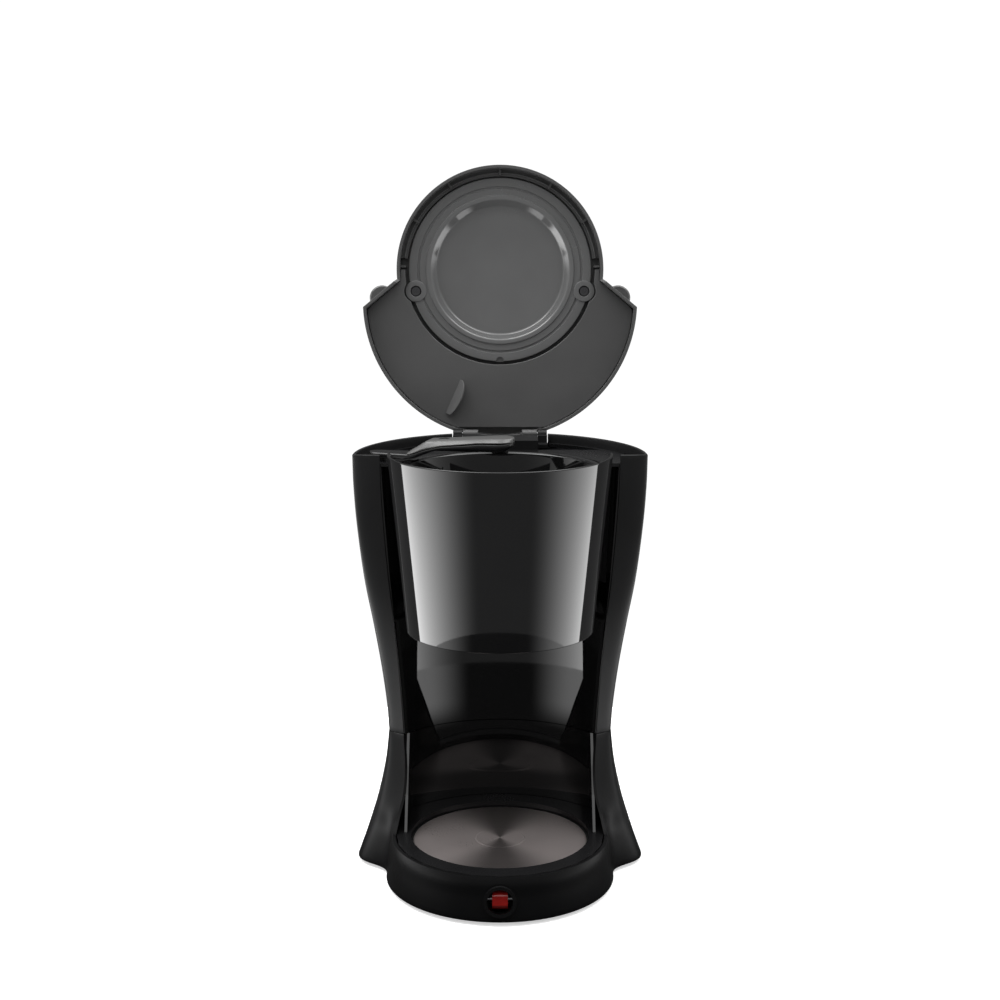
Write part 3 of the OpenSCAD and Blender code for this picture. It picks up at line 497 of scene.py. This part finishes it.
def build_casing():
    rows = [[(x, y, z) for x, y in section(row_at(COLUMN_ROWS, z), t, SKIN_T - t)]
            for z, t in heights(COLUMN_ROWS, 0.4, 0.7)]
    obj = mesh("casing", *grid(rows, wrap=True, caps=True), node="rear_casing")
    cut(obj, box_part((-38, 118, 308), (38, 150, 340)))


def ring_path(row, t, front=48):
    """Closed plan of the base, with a round front between the strips."""
    radius, centre = row[3] - t, row[4]
    return open_path(row, t) + [
        (radius * math.cos(math.pi * (1 + i / front)), centre + radius * math.sin(math.pi * (1 + i / front)))
        for i in range(1, front)]


SWITCH_AT, SWITCH_HOLE_R = (0, -99, 19), 10.7
GLAND_AT, GLAND_HOLE_R = (-45, 124, 18), 6.85


def hole_along_y(at, radius, half, steps):
    """Cutter for a round hole through the skirt."""
    return moved(disc_part((0, 0), radius, -half, half, 0.01, steps),
                 lambda p: (at[0] + p[0], at[1] + p[2], at[2] + p[1]))


def build_skirt():
    """The wings rise from the skirt as one skin."""
    low_rows = [r for r in BASE_ROWS if r[0] <= DECK_Z]
    outer, inner = [], []
    for z, t in heights(low_rows, 0.8, 0.0, 3.0)[:-3]:
        row = row_at(BASE_ROWS, z)
        outer.append([(x, y, z) for x, y in ring_path(row, t)])
        inner.append([(x, y, z) for x, y in ring_path(row, SKIN_T)])
    bottom = grid([inner[0], outer[0]], wrap=True)
    n_open = len(open_path(BASE_ROWS[0], 0))
    front_out = outer[-1][n_open - 1:] + outer[-1][:1]
    front_in = inner[-1][n_open - 1:] + inner[-1][:1]
    low = merge(grid(outer, wrap=True), grid(inner, wrap=True), bottom, grid([front_out, front_in]))
    wing_rows = []
    top_edge = 0.4
    count = 20
    levels = [(DECK_Z + (JOINT_Z - top_edge - DECK_Z) * i / count, 0.0) for i in range(count + 1)]
    levels += [(JOINT_Z - top_edge * (1 - math.cos(a)), top_edge * (1 - math.sin(a)))
               for a in (1.05, 0.52, 0)]
    for z, t in levels:
        row = row_at(BASE_ROWS, z)
        out, inn = open_path(row, t), open_path(row, SKIN_T - t)
        wing_rows.append([(x, y, z) for x, y in out] + [(x, y, z) for x, y in reversed(inn)])
    wings = grid(wing_rows, wrap=True)
    n = len(wing_rows[0])
    last = (len(wing_rows) - 1) * n
    wings[1].append(list(range(last, last + n)))
    # The skirt takes the darker painted-shade copy of satin black, not the casing's own look.
    obj = mesh("base_skirt_skin", *merge(low, wings), node="base_skirt", look="base_black_painted_shade")
    cut(obj, hole_along_y(SWITCH_AT, SWITCH_HOLE_R, 20, 64), hole_along_y(GLAND_AT, GLAND_HOLE_R, 15, 48))


build_casing()
build_skirt()


# ------------------------------------------------------------------ filter

RIM_Z, RIM_R = 320, 81.7
FOOT_Z, FOOT_R = 189.4, 68.8


def build_cone():
    """Front half of the filter shell, carried a little past the middle."""
    thick, back, mean_r = 2.2, 3, 75
    outline = rounded([
        (FOOT_R - thick, FOOT_Z), (FOOT_R, FOOT_Z), (RIM_R, RIM_Z), (RIM_R - thick, RIM_Z)], 0.9, 6)
    over = math.degrees(math.asin(back / mean_r))
    cone = revolve(outline, 240, 180 - over, 180 + 2 * over)
    mesh("filter_front", *cone, node="front_shell")


def build_basket():
    floor_z, floor_r, top_r, rim_r, wall, top = 198, 56, 69.6, 74.6, 1.6, 306
    outline = rounded([
        (6.1, floor_z), (floor_r, floor_z), (top_r, top - 1.4), (rim_r, 308), (rim_r, 310),
        (top_r + 0.7, 310), (top_r - wall + 0.8, top + 3), (floor_r - wall, floor_z + 2), (6.1, floor_z + 2)],
        [0.2, 1.6, 0.8, 0.5, 0.5, 0.4, 1.2, 1.6, 0.2], 5)
    parts = [revolve(outline, 192)]
    lean = math.radians(7.2)
    for k in range(12):
        a = math.radians(30 * k)
        ca, sa = math.cos(a), math.sin(a)

        def place(p):
            x, y, z = p
            x, z = x * math.cos(lean) + z * math.sin(lean), -x * math.sin(lean) + z * math.cos(lean)
            x, z = x + floor_r - 4.5, z + floor_z + 1
            return (x * ca - y * sa, x * sa + y * ca, z)

        parts.append(moved(box_part((0, -0.8, 0), (3.6, 0.8, 92)), place))
    mesh("basket", *merge(*parts), node="filter_basket", bevel=0.25)


build_cone()
build_basket()


# ------------------------------------------------------------------ lid, drawn closed and turned open

HINGE_Y, HINGE_Z = LID_HINGE
LID_TOP = 337.5
LID_LOW = 316
LID_FRONT_LOW = 320.6
LID_FRONT_R, LID_REAR_R = 82.5, 109.2
BODY_Y = 25.7
SHOULDER_IN, SHOULDER_OUT = (83.4, 8.8), (108.4, 29.6)
PLATE_FACE = 324
SHIELD_Z = 329.5
LUG_AT, LUG_R = (67.5, 17), 8.6


def opened(p):
    a = math.radians(-LID_TURN)
    dy, dz = p[1] - HINGE_Y, p[2] - HINGE_Z
    return (p[0],
            HINGE_Y + dy * math.cos(a) - dz * math.sin(a),
            HINGE_Z + dy * math.sin(a) + dz * math.cos(a))


def lid_outline(inset, front=96, side=10, rear=72):
    """Plan of the lid from the back, round the right side, the front and the left side."""
    run = (SHOULDER_OUT[0] - SHOULDER_IN[0], SHOULDER_OUT[1] - SHOULDER_IN[1])
    length = math.hypot(*run)
    unit = (run[0] / length, run[1] / length)
    off = (-unit[1] * inset, unit[0] * inset)
    base = (SHOULDER_IN[0] + off[0], SHOULDER_IN[1] + off[1])

    def on_circle(radius, centre_y, far):
        px, py = base[0], base[1] - centre_y
        b = px * unit[0] + py * unit[1]
        c = px * px + py * py - radius * radius
        root = math.sqrt(max(b * b - c, 0))
        s = -b + root if far else -b - root
        return (base[0] + unit[0] * s, base[1] + unit[1] * s)

    outer = on_circle(LID_REAR_R - inset, BODY_Y, True)
    front_r = LID_FRONT_R - inset
    px, py = base
    b = px * unit[0] + py * unit[1]
    c = px * px + py * py - front_r * front_r
    s = -b + math.sqrt(max(b * b - c, 0))
    inner = (px + unit[0] * s, py + unit[1] * s)
    rear_from = math.atan2(outer[1] - BODY_Y, outer[0])
    front_from = math.atan2(inner[1], inner[0])
    right = [((LID_REAR_R - inset) * math.cos(t), BODY_Y + (LID_REAR_R - inset) * math.sin(t))
             for t in [math.pi / 2 + (rear_from - math.pi / 2) * i / rear for i in range(rear + 1)]]
    right += [(outer[0] + (inner[0] - outer[0]) * i / side, outer[1] + (inner[1] - outer[1]) * i / side)
              for i in range(1, side)]
    right += [(front_r * math.cos(t), front_r * math.sin(t))
              for t in [front_from + (-math.pi / 2 - front_from) * i / front for i in range(front + 1)]]
    return right + [(-x, y) for x, y in reversed(right[1:-1])]


def low_z(y):
    return LID_FRONT_LOW if y < 9 else LID_LOW


def hinge_part(radius, start, stop, edge):
    """Round piece on the hinge line, from start to stop along x."""
    return moved(disc_part((0, 0), radius, start, stop, edge, 40),
                 lambda p: (p[2], HINGE_Y + p[0], HINGE_Z + p[1]))


def lid_shell_part(ceiling):
    """Hollow lid: rounded top edge, side wall with a soft lower rim, and a flat ceiling."""
    edge, wall, lip_r, arcs = 1.6, 2.5, 0.45, 6
    rows = []
    for k in range(arcs + 1):
        a = math.pi / 2 * k / arcs
        z = LID_TOP - edge * (1 - math.cos(a))
        rows.append([(x, y, z) for x, y in lid_outline(edge * (1 - math.sin(a)))])
    outer = lid_outline(0)
    for inset, drop in ((0, lip_r), (lip_r * 0.6, 0.0), (wall - lip_r * 0.6, 0.0), (wall, lip_r)):
        rows.append([(x, y, low_z(outer[i][1]) + drop) for i, (x, y) in enumerate(lid_outline(inset))])
    rows.append([(x, y, ceiling - 0.8) for x, y in lid_outline(wall)])
    rows.append([(x, y, ceiling) for x, y in lid_outline(wall + 0.8)])
    return grid(rows, wrap=True, caps=True)


def build_lid():
    """Lid shell with its ears, screw bosses, hinge knuckles, inner ring and ribs."""
    ceiling = LID_TOP - 2.5
    knuckle_r, knuckle_from, knuckle_to = 3.2, 17.5, 29.5
    ring_in, ring_out, ring_low = 74.4, 80.3, 331
    ear = disc_part((95, 22), 10, LID_TOP - 5, LID_TOP, 1.2, 64)
    boss = disc_part(LUG_AT, 5.4, 333.3, ceiling + 1, 0.2, 40)
    knuckle = hinge_part(knuckle_r, knuckle_from, knuckle_to, 0.4)
    web = box_part((knuckle_from, HINGE_Y - knuckle_r, HINGE_Z), (knuckle_to, HINGE_Y + 1, LID_LOW + 4))
    parts = [lid_shell_part(ceiling), *both_sides(ear, boss, knuckle, web)]
    for degrees in (-88, -60, -31, 0, 31, 60, 88):
        a = math.radians(degrees - 90)
        ca, sa = math.cos(a), math.sin(a)
        parts.append(moved(box_part((75.2, -0.8, 327), (81, 0.8, ceiling + 1)),
                           lambda p: (p[0] * ca - p[1] * sa, p[0] * sa + p[1] * ca, p[2])))
    ring = [
        (ring_in, ring_low), (76.5, ring_low), (76.5, ring_low - 2), (77.4, ring_low - 2),
        (77.4, ring_low), (ring_out, ring_low), (ring_out, ceiling + 1), (ring_in, ceiling + 1)]
    parts.append(revolve(rounded(ring, [0.4, 0.2, 0.3, 0.3, 0.2, 0.2, 0, 0], 4), 120, 187, 166))
    obj = mesh("lid", *moved(merge(*parts), opened), node="lid_shell")
    cut(obj, *both_sides(hinge_part(4.4, 29.55, 38.0, 0.01)), crossing=True)


def hole_edge(a, hole_r):
    """Radius of the panel's hole at an angle. It steps out round each lug."""
    clear_r = LUG_R + 0.6
    lug_far = math.hypot(*LUG_AT)
    away = min(a, math.pi - a) - math.atan2(LUG_AT[1], LUG_AT[0])
    if abs(away) >= clear_r / hole_r * 0.98:
        return hole_r
    side = math.sqrt(max(clear_r ** 2 - (lug_far * math.sin(away)) ** 2, 0))
    return max(hole_r, lug_far * math.cos(away) + side)


def panel_edge(ca, sa, hole_r, gap, back):
    """Radius where the panel meets the lid's wall, or its straight back, found by halving."""
    low, high = hole_r, 160.0
    for _ in range(30):
        mid = (low + high) / 2
        if inside_lid(mid * ca, mid * sa, gap) and mid * sa < back:
            low = mid
        else:
            high = mid
    return low


def build_lid_plate():
    """Underside panel of the wide part, cut out round the shield, and its fin."""
    hole_r, thick, gap, back = 75.8, 1.6, 2.9, 126
    steps, soft = 128, 0.35
    edges = []
    for i in range(steps + 1):
        a = math.pi * i / steps
        ca, sa = math.cos(a), math.sin(a)
        inner_r = hole_edge(a, hole_r)
        edges.append((max(panel_edge(ca, sa, hole_r, gap, back), inner_r + 0.3), inner_r, ca, sa))
    rows = []
    for outside, offset, z in (
            (True, 0, PLATE_FACE + thick), (True, 0, PLATE_FACE + soft), (True, -soft, PLATE_FACE),
            (False, soft, PLATE_FACE), (False, 0, PLATE_FACE + soft), (False, 0, PLATE_FACE + thick)):
        row = []
        for outer_r, inner_r, ca, sa in edges:
            r = (outer_r if outside else inner_r) + offset
            row.append((r * ca, r * sa, z))
        rows.append(row)
    plate = grid([list(column) for column in zip(*rows)], wrap=True, caps=True)
    mesh("lid_panel", *moved(merge(plate, fin_part()), opened), node="lid_plate")


def inside_lid(x, y, inset):
    """Whether a point lies inside the lid's plan, taken in by inset."""
    x = abs(x)
    run = (SHOULDER_OUT[0] - SHOULDER_IN[0], SHOULDER_OUT[1] - SHOULDER_IN[1])
    length = math.hypot(*run)
    side = ((x - SHOULDER_IN[0]) * -run[1] + (y - SHOULDER_IN[1]) * run[0]) / length
    wide = math.hypot(x, y - BODY_Y) < LID_REAR_R - inset and side > inset
    return wide or math.hypot(x, y) < LID_FRONT_R - inset


def fin_part():
    """Curved blade that leads drips off the panel."""
    start, end, thick, tall, lean = (-31, 88), (-43, 115), 1.4, 11, math.radians(-36)
    length = math.hypot(end[0] - start[0], end[1] - start[1])
    turn = math.atan2(end[1] - start[1], end[0] - start[0])
    curve = [(length * (1 - math.cos(math.radians(a))) / 1.87, -tall * math.sin(math.radians(a)))
             for a in range(0, 151, 6)]
    outline = curve + [(length, 0.5), (0, 0.5)]
    rows = []
    half, edge = thick / 2, 0.25
    for offset, inset in ((-half, edge), (-half + edge, 0), (half - edge, 0), (half, edge)):
        mid = (length * 0.65, -3.5)
        row = []
        for u, w in outline:
            reach = math.hypot(u - mid[0], w - mid[1])
            share = 1 - inset / reach
            u, w = mid[0] + (u - mid[0]) * share, mid[1] + (w - mid[1]) * share
            v = offset * math.cos(lean) - w * math.sin(lean)
            h = offset * math.sin(lean) + w * math.cos(lean)
            row.append((start[0] + u * math.cos(turn) - v * math.sin(turn),
                        start[1] + u * math.sin(turn) + v * math.cos(turn), PLATE_FACE + h))
        rows.append(row)
    return grid(rows, wrap=True, caps=True)


def build_shield():
    """Round shield with its recess and grooves, and the two lugs that its screws go through."""
    recess, crest, rim = 53.3, 59, 73.5
    z = SHIELD_Z
    outline = rounded([
        (0.01, 333.2), (recess - 2.2, 333.2), (recess + 2.6, z - 1.2), (crest, z - 1.2), (crest + 0.9, z),
        (64.4, z), (64.8, z + 0.9), (66.2, z + 0.9), (66.6, z), (rim - 0.6, z), (rim, z + 1.2),
        (rim, 334), (rim - 1.5, 334), (rim - 1.5, z + 1.8),
        (recess + 3, z + 1.8), (recess + 1.2, 334.7), (0.01, 334.7)],
        [0, 2.6, 2.2, 0.6, 0.5, 0.3, 0.2, 0.2, 0.3, 0.6, 0.4, 0.2, 0.2, 0.2, 0.3, 0.3, 0], 6)
    obj = mesh("shield", *moved(revolve(outline, 240), opened), node="steam_shield")
    bore = disc_part(LUG_AT, LUG_R - 0.3, 320, 340, 0.01, 64)
    notch = disc_part((0, rim - 1), 3, 320, 331, 0.01, 48)
    cut(obj, moved(bore, opened), moved(mirrored(bore), opened), moved(notch, opened))
    lug = revolve(rounded([
        (4.3, z - 0.7), (LUG_R, z - 0.7), (LUG_R, 333.2), (1.55, 333.2), (1.55, z + 2), (4.3, z + 2)],
        [0.5, 0.8, 0.2, 0, 0, 0], 5), 64, at=LUG_AT)
    mesh("shield_lugs", *moved(merge(lug, mirrored(lug)), opened), node="steam_shield")


def build_screws():
    """Pan heads with a crossed recess."""
    head = disc_part(LUG_AT, 4.1, SHIELD_Z, SHIELD_Z + 2, 0.7, 48)
    shank = disc_part(LUG_AT, 1.45, SHIELD_Z + 1.5, 336, 0.1, 24)
    obj = mesh("shield_screws", *moved(merge(*both_sides(head, shank)), opened),
               node="lid_screws", look="screw_steel")
    long, narrow = 2.1, 0.45
    slots = []
    for x, y in (LUG_AT, (-LUG_AT[0], LUG_AT[1])):
        for across, along, deep in ((long, narrow, 0.9), (narrow, long, 0.85)):
            slots.append(box_part((x - across, y - along, SHIELD_Z - 1),
                                  (x + across, y + along, SHIELD_Z + deep)))
    cut(obj, *[moved(slot, opened) for slot in slots])


build_lid()
build_lid_plate()
build_shield()
build_screws()


# ------------------------------------------------------------------ outlet arm

ARM_AT, ARM_TURN, ARM_LENGTH = (-90, 40), math.radians(-15.5), 93.4
HUB_R, SPOON_R = 7.5, 10.7
COVER_TOP = [(24, 315.6), (25.6, 317.4), (39, 325.6), (92, 329.4), (120, 329.4)]
COVER_LOW = [(-20, 315.6), (27, 315.2), (36, 318.6), (50, 322), (80, 325.6), (120, 326.6)]
ARM_LOW = [(-20, 311), (22, 311), (30, 312.5), (46, 318.8), (94, 319.4), (100, 320.8), (104.2, 323.8)]


def line_at(points, x):
    """Height of a line through the points, level beyond its ends."""
    if x <= points[0][0]:
        return points[0][1]
    for a, b in zip(points, points[1:]):
        if x <= b[0]:
            return a[1] + (b[1] - a[1]) * (x - a[0]) / (b[0] - a[0])
    return points[-1][1]


def soft_line(points, x, reach=1.6):
    """The line's height averaged over reach on each side, which rounds its bends."""
    return sum(line_at(points, x + reach * k / 4) for k in range(-4, 5)) / 9


def arm_half(x):
    """Half the arm's width at x along it: round hub, widening bar, round spoon."""
    if x < 0:
        return math.sqrt(max(HUB_R ** 2 - x * x, 0.01))
    if x > ARM_LENGTH:
        return math.sqrt(max(SPOON_R ** 2 - (x - ARM_LENGTH) ** 2, 0.01))
    bend = ARM_LENGTH * 0.4
    if x < bend:
        return HUB_R + (SPOON_R - 1.2 - HUB_R) * x / bend
    return SPOON_R - 1.2 + 1.2 * (x - bend) / (ARM_LENGTH - bend)


def arm_place(p):
    c, s = math.cos(ARM_TURN), math.sin(ARM_TURN)
    return (ARM_AT[0] + p[0] * c - p[1] * s, ARM_AT[1] + p[0] * s + p[1] * c, p[2])


def arm_loft(start, stop, low, high, edge, belly=0.3, slope=0.0):
    """Rounded bar along the arm between two height lines, its front top edge cut back by slope."""
    xs = [start + (stop - start) * i / 90 for i in range(91)]
    tip = ARM_LENGTH + SPOON_R
    if stop >= tip - 0.2:
        xs = [x for x in xs if x < ARM_LENGTH]
        xs += [ARM_LENGTH + SPOON_R * math.sin(math.pi / 2 * i / 24) for i in range(25)]
    rows = []
    for x in xs:
        w, z0, z1 = arm_half(min(x, tip - 0.02)), low(x), high(x)
        z1 = max(z1, z0 + 0.05)
        e = min(edge, (z1 - z0) * 0.45, w * 0.6)
        back = min(slope, w * 0.5)
        if back:
            shoulder, ends = [(-w + back, z1), (-w, z1 - (z1 - z0) * 0.8)], [1.4 * back, 0.2]
        else:
            shoulder, ends = [(-w, z1)], [e]
        outline = rounded([(-w, z0), (w, z0), (w, z1)] + shoulder, [belly * e, belly * e, e] + ends, 5)
        rows.append([(x, y, z) for y, z in outline])
    return grid(rows, wrap=True, caps=True)


def build_arm():
    """Arm with its nozzle and ribs, then the cover that lies on it."""
    tip = ARM_LENGTH + SPOON_R
    tube_r, nozzle_r, nozzle_low, nozzle_top = 4.4, 6.2, 317.8, 322.6
    body = arm_loft(-HUB_R + 0.02, tip, lambda x: soft_line(ARM_LOW, x),
                    lambda x: soft_line(COVER_LOW, x) - 0.05, 2.4, 1.0)
    nozzle = revolve(rounded([
        (tube_r, nozzle_low), (nozzle_r, nozzle_low), (nozzle_r, nozzle_top), (tube_r, nozzle_top)],
        [0.4, 0.6, 0, 0], 4), 64, at=(ARM_LENGTH, 0))
    ribs = [box_part((x, -5, 318.4), (x + 2, 5, 322.6)) for x in (64, 76)]
    obj = mesh("arm", *moved(merge(body, nozzle, *ribs), arm_place),
               node="outlet_arm", look="deck_black", angle=40)
    hole = disc_part((0, 0), 4.05, 300, 314.5, 0.01, 48)
    mouth = disc_part((ARM_LENGTH, 0), tube_r, 310, 322.9, 0.01, 48)
    cut(obj, moved(hole, arm_place), moved(mouth, arm_place), crossing=True)
    cover = arm_loft(24.2, tip, lambda x: soft_line(COVER_LOW, x), lambda x: soft_line(COVER_TOP, x),
                     1.1, slope=3.4)
    top = mesh("arm_top", *moved(cover, arm_place), node="arm_cover", angle=40)
    recess = disc_part((50, 3), 4.4, 326.4 - 1.6, 336, 0.5, 48)
    cut(top, moved(recess, arm_place))


build_arm()


# ------------------------------------------------------------------ hotplate

PLATE_R, PLATE_Z, PLATE_AT = 64.7, 30, (0, -10)


def build_hotplate():
    dimple = 17.5
    outline = rounded([
        (0.01, PLATE_Z - 1.5), (PLATE_R - 1, PLATE_Z - 1.5), (PLATE_R - 1, PLATE_Z - 5),
        (PLATE_R, PLATE_Z - 5), (PLATE_R, PLATE_Z), (dimple + 1.4, PLATE_Z), (dimple, PLATE_Z + 0.5),
        (0.01, PLATE_Z + 0.5)],
        [0, 0.3, 0.2, 0.2, 0.7, 0.6, 0.6, 0], 5)
    mesh("warming_plate", *revolve(outline, 240, at=PLATE_AT), node="hotplate")


build_hotplate()


# ------------------------------------------------------------------ carried-over CAD nodes

OWN_LOOK = {"top_deck": "deck_black", "base_deck": "deck_black", "filter_housing": "deck_black"}
SOFT_EDGED = {
    "hinge_bracket": 0.5, "top_deck": 0.3, "base_deck": 0.3,
    "switch_bezel": 0.5, "power_rocker": 0.5, "cord_gland": 0.6}
for name, obj in frame["nodes"].items():
    if obj.hide_render:
        continue
    obj.data.materials.clear()
    obj.data.materials.append(LOOKS[OWN_LOOK.get(name, SLOT_OF[name])])
    if name in SOFT_EDGED:
        add_bevel(obj, SOFT_EDGED[name], 40, 2)


# ------------------------------------------------------------------ floor and studio light

FLOOR_R = 0.42


def build_floor():
    """Pale floor. What the glossy skins mirror of it is dark in front and lit at the sides."""
    made = bpy.data.materials.new("floor_white")
    made.use_nodes = True
    nodes = Nodes(made.node_tree)
    shader = made.node_tree.nodes["Principled BSDF"]
    place = nodes.add("ShaderNodeTexCoord", out=3)
    cloud = nodes.add("ShaderNodeTexNoise", inputs={"Vector": place, "Scale": 30.0})
    nodes.put(shader.inputs["Base Color"], nodes.mix(cloud, (0.80, 0.80, 0.80, 1), (0.82, 0.82, 0.82, 1)))
    shader.inputs["Roughness"].default_value = 0.9
    shader.inputs["Emission Color"].default_value = (1, 1, 1, 1)
    shader.inputs["Emission Strength"].default_value = 0.55
    output = made.node_tree.nodes["Material Output"]
    x, y = nodes.parts(place)[:2]
    aside = nodes.math("ARCTAN2", nodes.math("ABSOLUTE", x), nodes.math("MULTIPLY", y, -1.0))
    far = nodes.length(x, y)
    glow = nodes.math("MULTIPLY", nodes.ramp(aside, math.radians(30), math.radians(78), 0.0, 1.7),
                      nodes.ramp(far, 0.2, 0.3, 0.0, 1.0))
    glow = nodes.math("MULTIPLY", glow, nodes.ramp(aside, math.radians(125), math.radians(100), 0.1, 1.0))
    dim = nodes.add("ShaderNodeEmission", inputs={
        "Color": (1, 1, 1, 1), "Strength": nodes.math("ADD", glow, 0.05)})
    seen = nodes.add("ShaderNodeLightPath", out=0)
    nodes.put(output.inputs["Surface"], nodes.add("ShaderNodeMixShader", inputs={
        0: seen, 1: dim, 2: shader.outputs[0]}))
    steps = 128
    data = bpy.data.meshes.new("floor")
    turns = [2 * math.pi * i / steps for i in range(steps)]
    data.from_pydata([(FLOOR_R * math.cos(a), FLOOR_R * math.sin(a), 0) for a in turns],
                     [], [list(range(steps))])
    data.materials.append(made)
    floor = bpy.data.objects.new("floor", data)
    scene.collection.objects.link(floor)


def build_light():
    """White for the camera. The light is a soft panel on each side, low and high, and one from above."""
    world = bpy.data.worlds.new("studio")
    scene.world = world
    world.use_nodes = True
    tree = world.node_tree
    nodes = Nodes(tree)
    way = nodes.add("ShaderNodeTexCoord", out=0)
    split = tree.nodes.new("ShaderNodeSeparateXYZ")
    tree.links.new(way, split.inputs[0])
    x, y, z = split.outputs
    azimuth = nodes.math("MULTIPLY", nodes.math("ARCTAN2", x, nodes.math("MULTIPLY", y, -1.0)), 180 / math.pi)
    level = nodes.math("MULTIPLY", nodes.math("ARCSINE", z), 180 / math.pi)
    left = nodes.math("MULTIPLY",
                      nodes.ramp(azimuth, -24, -116, 0, 5.8), nodes.ramp(azimuth, -119, -120, 1, 0))
    right = nodes.math("MULTIPLY",
                       nodes.ramp(azimuth, 32, 118, 0, 4.2), nodes.ramp(azimuth, 117, 118, 1, 0))
    low = nodes.math("MULTIPLY", nodes.ramp(level, -38, -31), nodes.ramp(level, 10, -22, 0.1, 1.0))
    high = nodes.math("MULTIPLY", nodes.ramp(level, 40, 52), nodes.ramp(level, 88, 80, 0.0, 1.2))
    sides = nodes.math("MULTIPLY", nodes.math("ADD", left, right), nodes.math("ADD", low, high))
    above = nodes.ramp(level, 18, 70, 0.0, 1.6)
    room = nodes.ramp(y, -0.4, 0.8, 0.22, 0.09)
    total = nodes.math("ADD", nodes.math("ADD", sides, above), room)
    seen = nodes.add("ShaderNodeLightPath", out=0)
    strength = nodes.add("ShaderNodeMix", inputs={0: seen, 2: total, 3: 1.05})
    back = tree.nodes["Background"]
    back.inputs["Color"].default_value = (1, 1, 1, 1)
    tree.links.new(strength, back.inputs["Strength"])


build_floor()
build_light()
